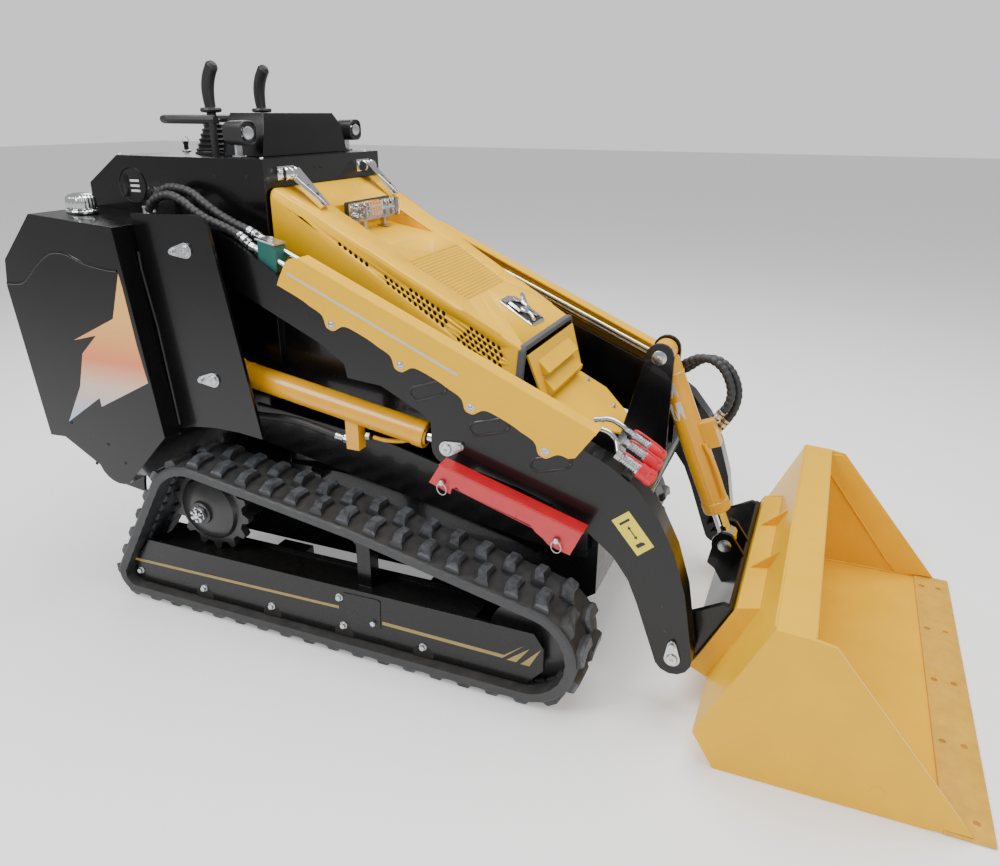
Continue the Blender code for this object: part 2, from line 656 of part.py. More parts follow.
def pin_plate(name, side):
    """The outer plate that holds the pins of the lift arm and of the lift cylinder."""
    outline = [(-0.834, 1.107), (-0.776, 0.547), (-0.730, 0.560), (-0.660, 0.567), (-0.580, 0.566),
               (-0.506, 0.558), (-0.600, 1.086), (-0.612, 1.106), (-0.634, 1.113)]
    plate = side_prism(name, outline, side, PIN_PLATE_IN, PIN_PLATE_OUT)
    inner = BODY_HALF + GAP
    pins = [cross_rod(f"{name}_{part}", at, side * inner, side * (PIN_PLATE_OUT - 0.002), PIN_RADIUS)
            for part, at in (("arm_pin", ARM_PIVOT), ("cylinder_pin", LIFT_BASE))]
    return fuse(plate, *pins)


def operator_platform():
    """The step at the back, folded up between the tanks."""
    x, z = PLATFORM_HINGE
    half = BODY_HALF - 0.018
    tread = block("operator_platform", (x - 0.012, -half, z + 0.010), (x + 0.012, half, z + 0.330),
                  BLACK)
    knuckle = cross_rod("platform_knuckle", PLATFORM_HINGE, -half, half, 0.016)
    return fuse(tread, knuckle)


def safety_bar():
    """The red channel that locks the lift cylinder, stowed beside the right arm."""
    low_rear, low_front = (-0.027, 0.518), (0.328, 0.407)
    top_front, top_rear = (0.357, 0.470), (0.002, 0.580)
    outline = [low_rear, low_front, top_front, top_rear]
    bar = prism("safety_bar", outline, -(ARM_OUT + 0.065), -(ARM_OUT + 0.020), RED)
    hollow_outline = [(-0.1, 0.460), (0.5, 0.270), (0.5, 0.420), (-0.1, 0.606)]
    hollow = prism("safety_bar_hollow", hollow_outline, -(ARM_OUT + 0.061), -ARM_OUT)
    posts = [cross_rod(f"safety_bar_post_{number}", at, -(ARM_OUT + 0.063), -(BODY_HALF + 0.032 + GAP),
                       0.009, ZINC, 16)
             for number, at in enumerate(((0.010, 0.523), (0.300, 0.431)))]
    return fuse(cut(bar, hollow), *posts)


# ---- Hood --------------------------------------------------------------------------------------


def hood_ring(x, inset):
    """One cross-section of the hood, from its right lower edge over the top to its left one."""
    half = hood_at(x, HOOD_HALF) - inset
    low = hood_at(x, HOOD_LOW) - (0.1 if inset > 0 else 0)
    crease_half = hood_at(x, HOOD_CREASE_HALF) - inset * 0.5
    right = [(half, low), (half, hood_at(x, HOOD_FOLD) - inset),
             (crease_half, hood_at(x, HOOD_CREASE) - inset)]
    return [(x, -y, z) for y, z in right] + [(x, y, z) for y, z in right[::-1]]


def hood_solid(name, inset, rear, front):
    steps = 6
    return loft(name, [hood_ring(rear + (front - rear) * step / steps, inset)
                       for step in range(steps + 1)], YELLOW)


def recess_floor(x):
    """Height of the lamp recess's floor, which comes up to the hood's top at its front end."""
    share = (x - RECESS_REAR) / (RECESS_FRONT - RECESS_REAR)
    return RECESS_FLOOR + (hood_at(RECESS_FRONT, HOOD_CREASE) - RECESS_FLOOR) * share


def hood():
    """The folded sheet over the engine, open below and at both ends, with a recess for the lamp."""
    shell = hood_solid("hood", 0, HOOD_REAR, HOOD_FRONT)
    inside = hood_solid("hood_inside", HOOD_SHEET, HOOD_REAR - 0.01, HOOD_FRONT + 0.01)
    rear, front, sheet = RECESS_REAR, RECESS_FRONT, HOOD_SHEET
    pan_outline = [(rear - sheet, hood_at(rear - sheet, HOOD_CREASE) - 0.001),
                   (rear - sheet, recess_floor(rear) - sheet),
                   (front, recess_floor(front) - sheet - 0.0005), (front, recess_floor(front) - 0.001)]
    pan = prism("hood_pan", pan_outline, -RECESS_HALF - sheet, RECESS_HALF + sheet, YELLOW)
    room_outline = [(rear, 1.2), (rear, recess_floor(rear)), (front, recess_floor(front)), (front, 1.2)]
    room = prism("hood_recess", room_outline, -RECESS_HALF, RECESS_HALF)
    return cut(fuse(cut(shell, inside), pan), room)


def hood_hinge(name, side):
    """A chrome strap from the hinge's knuckle down the hood."""
    y = side * 0.178
    x, z = HOOD_HINGE
    knuckle = cross_rod(name, HOOD_HINGE, y - 0.020, y + 0.020, 0.014, CHROME, 20)
    strap_outline = [(x - 0.004, z - 0.014), (x + 0.012, z + 0.010), (-0.436, 1.119), (-0.446, 1.111),
                     (x + 0.022, 1.164)]
    strap = prism(name + "_strap", strap_outline, y - 0.016, y + 0.016, CHROME)
    over = hood_solid(name + "_seat", -GAP, HOOD_REAR - 0.01, HOOD_FRONT)
    return cut(fuse(knuckle, strap), over)


def strobe_light():
    """The lamp bar on its two feet, in the hood's recess."""
    lamp = block("strobe_light", (-0.430, -LAMP_HALF, 1.070), (-0.386, LAMP_HALF, 1.120), LENS, 0.006)
    foot_rear, foot_front = -0.416, -0.400
    feet = [side_block(f"{name}_lamp_foot", (foot_rear, foot_front),
                       (recess_floor(foot_rear) + GAP, 1.075), side, 0.045, 0.062, ZINC)
            for name, side in SIDES]
    return fuse(lamp, *feet)


def hood_latch():
    plate = block("hood_latch", (-0.030, -0.046, 0.800), (0.082, 0.078, 0.905), CHROME)
    over = hood_solid("hood_latch_over", -0.012, HOOD_REAR, HOOD_FRONT)
    under = hood_solid("hood_latch_seat", -GAP, HOOD_REAR, HOOD_FRONT)
    keep = boolean(plate, over, "INTERSECT")
    return cut(keep, under)


# ---- Lift arms ---------------------------------------------------------------------------------


def arm_outline():
    """The side plate of a lift arm: from the pivot over the elbow to the bucket pin and back."""
    rear_boss = arc(ARM_PIVOT, 0.052, 65, 245, 8)
    tip = arc(BUCKET_PIN, 0.045, -150, 10, 6)
    lug = arc(LIFT_EYE, 0.045, -70, -180, 5)
    top = [(-0.585, 1.050), (-0.457, 0.972)]
    elbow_top = [(0.320, 0.649), (0.390, 0.617), (0.455, 0.574), (0.510, 0.508), (0.551, 0.428),
                 (0.583, 0.330), (0.601, 0.230)]
    elbow_low = [(0.475, 0.282), (0.451, 0.338), (0.412, 0.391), (0.351, 0.440), (0.281, 0.490),
                 (0.180, 0.522), (0.080, 0.545)]
    notch = [(-0.050, 0.652), (-0.072, 0.672), (-0.183, 0.728), (-0.276, 0.736), (-0.283, 0.771),
             (-0.352, 0.817)]
    return top + elbow_top + tip[::-1] + elbow_low + lug + notch + rear_boss[::-1]


def arm_hollow():
    """What is left open between the two side plates, from below."""
    return [(-0.620, 0.860), (-0.560, 0.955), (0.290, 0.615), (0.375, 0.575), (0.430, 0.535),
            (0.482, 0.470), (0.520, 0.400), (0.545, 0.300), (0.555, 0.215), (0.430, 0.200),
            (0.300, 0.430), (0.100, 0.480), (-0.010, 0.500), (-0.120, 0.520), (-0.300, 0.680)]


def lift_arm(name, side):
    arm = side_prism(name, arm_outline(), side, ARM_IN, ARM_OUT)
    hollow = side_prism(name + "_hollow", arm_hollow(), side, ARM_IN + ARM_PLATE,
                        ARM_OUT - ARM_PLATE)
    bore = cross_rod(name + "_bore", ARM_PIVOT, side * (ARM_IN - 0.01), side * (ARM_OUT + 0.01),
                     PIN_RADIUS + BORE_CLEARANCE)
    pin = cross_rod(name + "_bucket_pin", BUCKET_PIN, side * (ATTACH_HALF - 0.030),
                    side * (ARM_OUT - 0.002), PIN_RADIUS)
    return fuse(cut(arm, hollow, bore), pin)


def guard_outline():
    """The yellow guard's side flange, with its four scallops for the bolts."""
    crease_rear, crease_front = (-0.392, 1.020), (0.360, 0.690)
    low = []
    for x, z in GUARD_BOLTS:
        low += [(x - 0.050, z + 0.036), (x - 0.026, z + 0.012), (x - 0.014, z - 0.012),
                (x + 0.006, z - 0.018), (x + 0.024, z - 0.008), (x + 0.045, z - 0.002)]
    return [crease_rear, (-0.408, 1.014), (-0.416, 1.002), (-0.456, 0.955)] + low + [
        (0.313, 0.607), crease_front]


def arm_guard(name, side):
    inner = ARM_OUT + 0.003
    flange = side_prism(name, guard_outline(), side, inner, inner + GUARD_SHEET, YELLOW)
    rear, front = GUARD_EDGE
    top = [rear, front, (front[0] - 0.002, front[1] - GUARD_SHEET),
           (rear[0] - 0.002, rear[1] - GUARD_SHEET)]
    shelf = side_prism(name + "_shelf", top, side, ARM_MID - 0.012, inner + GUARD_SHEET, YELLOW)
    return fuse(flange, shelf)


def arm_pipes(name, side):
    """Two steel pipes under the guard, with the clamps that carry them."""
    pipes, clamps = [], [side_prism(name, REAR_CLAMP, side, ARM_IN, ARM_OUT - 0.002, ZINC)]
    for number, (across, start, end) in enumerate(ARM_PIPES):
        y = side * (ARM_IN + across)
        pipes.append(rod(f"{name}_pipe_{number}", (start[0], y, start[1]), (end[0], y, end[1]),
                         ARM_PIPE_RADIUS, ZINC, 12))
    for number, share in enumerate((0.50, 0.93)):
        high, low = (between(start, end, share) for across, start, end in ARM_PIPES)
        outline = [(low[0] - 0.012, low[1] - 0.020), (low[0] + 0.012, low[1] - 0.024),
                   (high[0] + 0.012, high[1] + 0.004), (high[0] - 0.012, high[1] + 0.009)]
        clamps.append(side_prism(f"{name}_clamp_{number}", outline, side, ARM_IN, ARM_OUT - 0.002))
    seat = side_prism(name + "_seat", arm_outline(), side, ARM_IN - 0.01, ARM_OUT + 0.01)
    seat.data.transform(Matrix.Translation((0, 0, GAP)))
    return cut(fuse(clamps[0], *pipes, *clamps[1:]), seat)


def arm_crossmember():
    """The tube between the arms, with the two tall ears for the tilt cylinder."""
    at, radius = (0.425, 0.500), 0.038
    beam = cross_rod("arm_crossmember", at, -ARM_IN + GAP, ARM_IN - GAP, radius)
    outline = ([(0.392, 0.500), (0.338, 0.585), (0.372, 0.717)] + arc(TILT_TOP, 0.036, 170, 0, 8)
               + [(0.455, 0.560), (0.455, 0.500)])
    for name, side in SIDES:
        fuse(beam, side_prism(name + "_tilt_ear", outline, side, EAR_TOP_IN, EAR_TOP_IN + EAR))
    web = [(0.395, 0.500), (0.345, 0.585), (0.376, 0.690), (0.388, 0.690), (0.362, 0.585),
           (0.410, 0.500)]
    pin = cross_rod("tilt_top_pin", TILT_TOP, -EAR_TOP_IN - EAR + 0.001, EAR_TOP_IN + EAR - 0.001,
                    PIN_RADIUS)
    bulkhead = block("tilt_hose_bulkhead", (0.385, EAR_TOP_IN + EAR - 0.001, 0.684),
                     (BULKHEAD_FRONT, 0.104, 0.740))
    return fuse(beam, prism("tilt_ear_web", web, -EAR_TOP_IN - 0.001, EAR_TOP_IN + 0.001), pin, bulkhead)


def coupler_bank():
    """The auxiliary couplers on the right arm, with their caps."""
    body = None
    for number, (y, x, z, radius) in enumerate(COUPLERS):
        start = (x - 0.045, y, z + 0.026)
        end = (x + 0.045, y, z - 0.026)
        piece = rod("coupler_bank" if number == 0 else f"coupler_{number}", start, end, radius, ZINC, 20)
        body = fuse(body, piece) if body else piece
    tie = block("coupler_tie", (0.436, -0.368, 0.618), (0.458, -0.294, 0.640), ZINC)
    return fuse(body, tie)


# ---- Cylinders ---------------------------------------------------------------------------------


def lift_barrel(name, side):
    end = beyond(LIFT_EYE, LIFT_BASE, LIFT_BARREL_SHORT)
    start = beyond(LIFT_BASE, LIFT_EYE, 0.018)
    y = side * ARM_MID
    body = rod(name, (start[0], y, start[1]), (end[0], y, end[1]), LIFT_BARREL_RADIUS, YELLOW, 28)
    eye = cross_rod(name + "_eye", LIFT_BASE, y - 0.022, y + 0.022, EYE_RADIUS, YELLOW)
    bore = cross_rod(name + "_bore", LIFT_BASE, y - 0.05, y + 0.05, PIN_RADIUS + BORE_CLEARANCE)
    rod_start = beyond(LIFT_BASE, LIFT_EYE, 0.300)
    rod_end = beyond(LIFT_EYE, LIFT_BASE, 0.010)
    well = rod(name + "_well", (rod_start[0], y, rod_start[1]), (rod_end[0], y, rod_end[1]),
               LIFT_ROD_RADIUS + BORE_CLEARANCE, YELLOW)
    port = beyond(LIFT_BASE, LIFT_EYE, LIFT_PORT_AT)
    half = LIFT_PORT_HALF
    outline = [(port[0] - half, port[1] - LIFT_PORT_DROP), (port[0] + half, port[1] - LIFT_PORT_DROP),
               (port[0] + half, port[1] - 0.02), (port[0] - half, port[1] - 0.02)]
    port_block = side_prism(name + "_port", outline, side, ARM_MID - 0.016, ARM_MID + 0.016, YELLOW)
    return cut(fuse(body, eye, port_block), well, bore)


def lift_rod(name, side):
    start = beyond(LIFT_BASE, LIFT_EYE, 0.305)
    end = beyond(LIFT_EYE, LIFT_BASE, 0.010)
    y = side * ARM_MID
    bar = rod(name, (start[0], y, start[1]), (end[0], y, end[1]), LIFT_ROD_RADIUS, CHROME)
    eye = cross_rod(name + "_eye", LIFT_EYE, y - EYE_WIDTH / 2, y + EYE_WIDTH / 2, EYE_RADIUS, YELLOW)
    return fuse(bar, eye)


def tilt_side(along, reach):
    """A point this far along the tilt cylinder from its upper pin, and this far out to the front."""
    at = beyond(TILT_TOP, TILT_EYE, along)
    length = hypot(TILT_EYE[0] - TILT_TOP[0], TILT_EYE[1] - TILT_TOP[1])
    return (at[0] + reach * (TILT_TOP[1] - TILT_EYE[1]) / length,
            at[1] + reach * (TILT_EYE[0] - TILT_TOP[0]) / length)


def tilt_barrel():
    start = beyond(TILT_TOP, TILT_EYE, 0.018)
    end = beyond(TILT_TOP, TILT_EYE, TILT_BARREL_LENGTH)
    body = rod("tilt_barrel", (start[0], 0, start[1]), (end[0], 0, end[1]), TILT_BARREL_RADIUS,
               YELLOW, 28)
    eye = cross_rod("tilt_barrel_eye", TILT_TOP, -0.034, 0.034, 0.030, YELLOW)
    bore = cross_rod("tilt_barrel_bore", TILT_TOP, -0.1, 0.1, PIN_RADIUS + BORE_CLEARANCE)
    deep = beyond(TILT_TOP, TILT_EYE, 0.120)
    mouth = beyond(TILT_TOP, TILT_EYE, TILT_BARREL_LENGTH + 0.02)
    well = rod("tilt_barrel_well", (deep[0], 0, deep[1]), (mouth[0], 0, mouth[1]),
               TILT_ROD_RADIUS + BORE_CLEARANCE, YELLOW)
    port = [tilt_side(TILT_PORT_AT + along, reach)
            for along, reach in ((-0.035, 0.030), (-0.035, 0.066), (0.035, 0.066), (0.035, 0.030))]
    port_block = prism("tilt_port_block", port, -TILT_PORT_HALF, TILT_PORT_HALF, YELLOW)
    bosses = [cross_rod(f"tilt_boss_{number}", tilt_side(TILT_PORT_AT + along, TILT_BOSS_REACH),
                        0.0, end_y, TILT_BOSS_RADIUS, YELLOW, 16)
              for number, (along, end_y, hose_y) in enumerate(TILT_BOSSES)]
    return cut(fuse(body, eye, port_block, *bosses), well, bore)


def tilt_rod():
    start = beyond(TILT_TOP, TILT_EYE, 0.170)
    end = beyond(TILT_EYE, TILT_TOP, 0.010)
    bar = rod("tilt_rod", (start[0], 0, start[1]), (end[0], 0, end[1]), TILT_ROD_RADIUS, CHROME)
    eye = cross_rod("tilt_rod_eye", TILT_EYE, -TILT_EYE_WIDTH / 2, TILT_EYE_WIDTH / 2,
                    TILT_EYE_RADIUS, YELLOW)
    return fuse(bar, eye)


# ---- Bucket ------------------------------------------------------------------------------------


def attach_plate():
    """The mounting plate: a sheet behind the bucket, ribs to the arms and ears for the cylinder."""
    low, high = (0.604, 0.106), (0.684, 0.272)
    slope = atan2(high[1] - low[1], high[0] - low[0])
    back = (-sin(slope) * ATTACH_PLATE, cos(slope) * ATTACH_PLATE)
    front = (0.0015, -0.0007)
    sheet_outline = [(low[0] + front[0], low[1] + front[1]), (high[0] + front[0], high[1] + front[1]),
                     (high[0] + back[0], high[1] + back[1]), (low[0] + back[0], low[1] + back[1])]
    sheet = prism("attach_plate", sheet_outline, -ATTACH_HALF, ATTACH_HALF)
    rib_outline = arc(BUCKET_PIN, 0.034, 110, 290, 8) + [(0.606, 0.108), (0.684, 0.270), (0.662, 0.276),
                                                        (0.590, 0.235)]
    ribs = [side_prism(name + "_rib", rib_outline, side, ATTACH_HALF - 0.016, ATTACH_HALF)
            for name, side in SIDES]
    ear_outline = arc(TILT_EYE, 0.034, 60, 200, 8) + [(0.588, 0.236), (0.608, 0.222), (0.634, 0.180),
                                                      (0.684, 0.270)]
    ears = [side_prism(name + "_ear", ear_outline, side, EAR_INNER, EAR_INNER + EAR)
            for name, side in SIDES]
    made = fuse(sheet, *ribs, *ears)
    bore = cross_rod("attach_bore", BUCKET_PIN, -0.4, 0.4, PIN_RADIUS + BORE_CLEARANCE)
    return cut(made, bore)


def bucket_profile():
    return [BUCKET_BACK_TOP, BUCKET_BACK_LOW, BUCKET_HEEL, (CUTTING_EDGE_REAR - 0.03, 0.001),
            (BUCKET_FRONT[0], 0.0135), BUCKET_SIDE_TOP, BUCKET_LIP_FRONT]


def bucket():
    """A shell open to the front, with the back frame that takes the mounting plate."""
    half = BUCKET_WIDTH / 2
    shell = prism("bucket", bucket_profile(), -half, half, YELLOW)
    sheet, open_to = BUCKET_SHEET, BUCKET_FRONT[0] + 0.1
    inside = [(BUCKET_BACK_TOP[0] + 0.008, BUCKET_BACK_TOP[1] - sheet),
              (BUCKET_BACK_LOW[0] + 0.007, BUCKET_BACK_LOW[1] + 0.002),
              (BUCKET_HEEL[0] + 0.003, BUCKET_HEEL[1] + sheet), (open_to, BUCKET_HEEL[1] + sheet),
              (open_to, BUCKET_LIP_FRONT[1] + 0.1), (BUCKET_LIP_FRONT[0], BUCKET_LIP_FRONT[1] + 0.1),
              (BUCKET_LIP_FRONT[0], BUCKET_LIP_FRONT[1] - sheet)]
    hollow = prism("bucket_hollow", inside, -half + BUCKET_SIDE, half - BUCKET_SIDE)
    seat = prism("cutting_edge_seat", edge_outline(GAP), -half - 0.01, half + 0.01)
    shell = cut(shell, hollow, seat)
    cheek = [HOOK_REAR, FLANGE_REAR, (0.644, 0.078), (0.651, 0.088), (0.748, 0.300)]
    gusset = [(0.6985, 0.2845), (0.744, 0.293), (0.7485, 0.301), (0.781, 0.372), (0.776, 0.356)]
    for name, side in SIDES:
        fuse(shell, side_prism(name + "_cheek", cheek, side, FRAME_HALF, FRAME_HALF + 0.008, YELLOW),
             side_prism(name + "_gusset", gusset, side, GUSSET_AT, GUSSET_AT + 0.006, YELLOW))
    hook = [HOOK_REAR, (0.744, 0.297), (0.742, 0.290), (0.698, 0.281), (0.692, 0.268), (0.688, 0.271)]
    flange = [FLANGE_REAR, (0.644, 0.078), (0.651, 0.088), (0.612, 0.104)]
    return fuse(shell, prism("bucket_hook", hook, -FRAME_HALF - 0.001, FRAME_HALF + 0.001, YELLOW),
                prism("bucket_flange", flange, -FRAME_HALF - 0.001, FRAME_HALF + 0.001, YELLOW))


def edge_outline(grow=0.0):
    return [(CUTTING_EDGE_REAR - grow, -0.01 if grow else 0.0),
            (CUTTING_EDGE_REAR - grow, CUTTING_EDGE + grow),
            (CUTTING_EDGE_TIP - 0.022, CUTTING_EDGE + grow),
            (CUTTING_EDGE_TIP, -0.01 if grow else 0.0)]


def cutting_edge():
    half = BUCKET_WIDTH / 2
    return prism("cutting_edge", edge_outline(), -half, half, YELLOW)


# ---- Hoses -------------------------------------------------------------------------------------


def arm_hoses(name, side):
    """Two hoses from the tank's top over the arm's pivot to the pipes, tied together."""
    upper, lower = ([(x, side * y, z) for x, y, z in route] for route in (UPPER_HOSE, LOWER_HOSE))
    tie = side_block(name + "_tie", (-0.804, -0.790), (1.136, 1.156), side, 0.318, 0.372, RUBBER)
    return fuse(tube(name, smooth_path(upper, 3), HOSE_RADIUS),
                tube(name + "_lower", smooth_path(lower, 3), HOSE_RADIUS), tie)


def cylinder_hose(name, side):
    return tube(name, smooth_path([(x, side * y, z) for x, y, z in CYLINDER_HOSE], 3), HOSE_RADIUS)


def tilt_hose_route(number):
    (first_y, first_z), *middle = TILT_HOSE_PATHS[number]
    along, end_y, hose_y = TILT_BOSSES[number]
    boss = tilt_side(TILT_PORT_AT + along, TILT_BOSS_REACH)
    y, z, x = middle[-1]
    end = beyond(boss, (x, z), TILT_BOSS_RADIUS + 2 * GAP)
    return ([(BULKHEAD_FRONT + 0.002, first_y, first_z), (BULKHEAD_FRONT + 0.020, first_y, first_z + 0.004)]
            + [(x, y, z) for y, z, x in middle] + [(end[0], hose_y, end[1])])


def tilt_hoses():
    """Two hoses from the bulkhead on the left ear round to the cylinder's port block."""
    tie = block("tilt_hose_tie", (0.534, 0.054, 0.744), (0.546, 0.086, 0.764), RUBBER)
    return fuse(tube("tilt_hoses", smooth_path(tilt_hose_route(0), 3), HOSE_RADIUS),
                tube("tilt_hose_second", smooth_path(tilt_hose_route(1), 3), HOSE_RADIUS), tie)


# ---- The machine -------------------------------------------------------------------------------


def fixed_pieces():
    chassis_frame()
    engine_block()
    control_tower()
    dash_box()
    handle_bar()
    front_deck()
    louvre_panel()
    safety_bar()
    for name, side in SIDES:
        track(name + "_track", side)
        track_frame(name + "_track_frame", side)
        sprocket(name + "_sprocket", side)
        idler(name + "_idler", side)
        tank(name + "_tank", side)
        filler_cap(name + "_filler_cap", side)
        pin_plate(name + "_pin_plate", side)
        lever(name + "_lever", side)
        headlight(name + "_headlight", side)
        arm_hoses(name + "_arm_hoses", side)
        cylinder_hose(name + "_cylinder_hose", side)


def moving_pieces():
    hang(pivot("hood_axis", HOOD_HINGE), hood(), strobe_light(), hood_latch(),
         *[hood_hinge(name + "_hood_hinge", side) for name, side in SIDES])
    hang(pivot("platform_axis", PLATFORM_HINGE), operator_platform())
    arms = pivot("lift_axis", ARM_PIVOT)
    hang(arms, arm_crossmember(), coupler_bank(), tilt_hoses())
    for name, side in SIDES:
        hang(arms, lift_arm(name + "_arm", side), arm_guard(name + "_arm_guard", side),
             arm_pipes(name + "_arm_pipes", side))
        hang(pivot(name + "_lift_cylinder_axis", LIFT_BASE), lift_barrel(name + "_lift_barrel", side),
             lift_rod(name + "_lift_rod", side))
    hang(pivot("tilt_cylinder_axis", TILT_TOP), tilt_barrel(), tilt_rod())
    hang(pivot("bucket_axis", BUCKET_PIN), attach_plate(), bucket(), cutting_edge())


clear_scene()
fixed_pieces()
moving_pieces()
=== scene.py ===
from math import atan2, cos, hypot, pi, radians, sin

import bmesh
import bpy
from mathutils import Matrix, Vector
from mathutils.geometry import delaunay_2d_cdt


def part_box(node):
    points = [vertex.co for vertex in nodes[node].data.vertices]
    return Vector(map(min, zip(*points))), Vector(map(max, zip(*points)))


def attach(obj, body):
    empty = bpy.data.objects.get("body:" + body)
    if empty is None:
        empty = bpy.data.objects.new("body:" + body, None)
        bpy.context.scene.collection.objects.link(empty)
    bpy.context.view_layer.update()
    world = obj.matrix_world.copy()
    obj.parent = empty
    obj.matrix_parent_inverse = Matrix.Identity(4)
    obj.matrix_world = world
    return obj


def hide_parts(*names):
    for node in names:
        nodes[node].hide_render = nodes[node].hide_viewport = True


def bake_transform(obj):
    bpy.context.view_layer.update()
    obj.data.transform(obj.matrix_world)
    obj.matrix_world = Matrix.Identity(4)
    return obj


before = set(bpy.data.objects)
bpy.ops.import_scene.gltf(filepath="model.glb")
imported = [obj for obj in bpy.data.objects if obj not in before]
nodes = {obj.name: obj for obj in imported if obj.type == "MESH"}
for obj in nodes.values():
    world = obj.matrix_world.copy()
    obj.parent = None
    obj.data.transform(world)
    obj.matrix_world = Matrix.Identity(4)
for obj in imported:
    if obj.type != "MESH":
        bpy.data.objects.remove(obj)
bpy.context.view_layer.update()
sides = (("right", -1), ("left", 1))


def effectGroup(name, inputs, output, kind):
    group = bpy.data.node_groups.new(name, "ShaderNodeTree")
    for label, default in inputs:
        socket = group.interface.new_socket(label, in_out="INPUT", socket_type="NodeSocketFloat")
        socket.default_value = default
    group.interface.new_socket(output, in_out="OUTPUT", socket_type=kind)
    return group, group.nodes.new("NodeGroupInput"), group.nodes.new("NodeGroupOutput")


# Fine unevenness of paint or of a moulded face, as a normal.
def makePeel():
    group, given, out = effectGroup("finePeel", (("Scale", 300.0), ("Strength", 0.1)), "Normal",
                                    "NodeSocketVector")
    where = group.nodes.new("ShaderNodeTexCoord")
    noise = group.nodes.new("ShaderNodeTexNoise")
    noise.inputs["Detail"].default_value = 3.0
    bump = group.nodes.new("ShaderNodeBump")
    bump.inputs["Distance"].default_value = 0.0006
    link = group.links.new
    link(where.outputs["Object"], noise.inputs["Vector"])
    link(given.outputs["Scale"], noise.inputs["Scale"])
    link(noise.outputs["Fac"], bump.inputs["Height"])
    link(given.outputs["Strength"], bump.inputs["Strength"])
    link(bump.outputs["Normal"], out.inputs["Normal"])
    return group


# Soft uneven patches, from 0 to 1.
def makeMottle():
    group, given, out = effectGroup("softMottle", (("Scale", 9.0), ("Contrast", 2.0)), "Mask",
                                    "NodeSocketFloat")
    where = group.nodes.new("ShaderNodeTexCoord")
    noise = group.nodes.new("ShaderNodeTexNoise")
    noise.inputs["Detail"].default_value = 6.0
    noise.inputs["Roughness"].default_value = 0.65
    centre = group.nodes.new("ShaderNodeMath")
    centre.operation = "SUBTRACT"
    centre.inputs[1].default_value = 0.5
    spread = group.nodes.new("ShaderNodeMath")
    spread.operation = "MULTIPLY"
    shift = group.nodes.new("ShaderNodeMath")
    shift.operation = "ADD"
    shift.use_clamp = True
    shift.inputs[1].default_value = 0.5
    link = group.links.new
    link(where.outputs["Object"], noise.inputs["Vector"])
    link(given.outputs["Scale"], noise.inputs["Scale"])
    link(noise.outputs["Fac"], centre.inputs[0])
    link(centre.outputs[0], spread.inputs[0])
    link(given.outputs["Contrast"], spread.inputs[1])
    link(spread.outputs[0], shift.inputs[0])
    link(shift.outputs[0], out.inputs["Mask"])
    return group


# Dust that settles on faces that look up and low down on the machine, from 0 to 1.
def makeDust():
    group, given, out = effectGroup("settledDust", (("Amount", 0.3), ("Reach", 0.5)), "Mask",
                                    "NodeSocketFloat")
    where = group.nodes.new("ShaderNodeTexCoord")
    shape = group.nodes.new("ShaderNodeNewGeometry")
    noise = group.nodes.new("ShaderNodeTexNoise")
    noise.inputs["Scale"].default_value = 38.0
    noise.inputs["Detail"].default_value = 8.0
    split = group.nodes.new("ShaderNodeSeparateXYZ")
    facing = group.nodes.new("ShaderNodeSeparateXYZ")
    fall = group.nodes.new("ShaderNodeMapRange")
    fall.inputs["From Min"].default_value = 0.0
    fall.inputs["To Min"].default_value = 1.0
    fall.inputs["To Max"].default_value = 0.25
    up = group.nodes.new("ShaderNodeMapRange")
    up.inputs["From Min"].default_value = -0.2
    up.inputs["From Max"].default_value = 1.0
    up.inputs["To Min"].default_value = 0.25
    steps = [group.nodes.new("ShaderNodeMath") for _ in range(3)]
    for step in steps:
        step.operation = "MULTIPLY"
    link = group.links.new
    link(where.outputs["Object"], noise.inputs["Vector"])
    link(where.outputs["Object"], split.inputs[0])
    link(shape.outputs["Normal"], facing.inputs[0])
    link(split.outputs["Z"], fall.inputs["Value"])
    link(given.outputs["Reach"], fall.inputs["From Max"])
    link(facing.outputs["Z"], up.inputs["Value"])
    link(noise.outputs["Fac"], steps[0].inputs[0])
    link(fall.outputs[0], steps[0].inputs[1])
    link(steps[0].outputs[0], steps[1].inputs[0])
    link(up.outputs[0], steps[1].inputs[1])
    link(steps[1].outputs[0], steps[2].inputs[0])
    link(given.outputs["Amount"], steps[2].inputs[1])
    link(steps[2].outputs[0], out.inputs["Mask"])
    return group


peelGroup, mottleGroup, dustGroup = makePeel(), makeMottle(), makeDust()


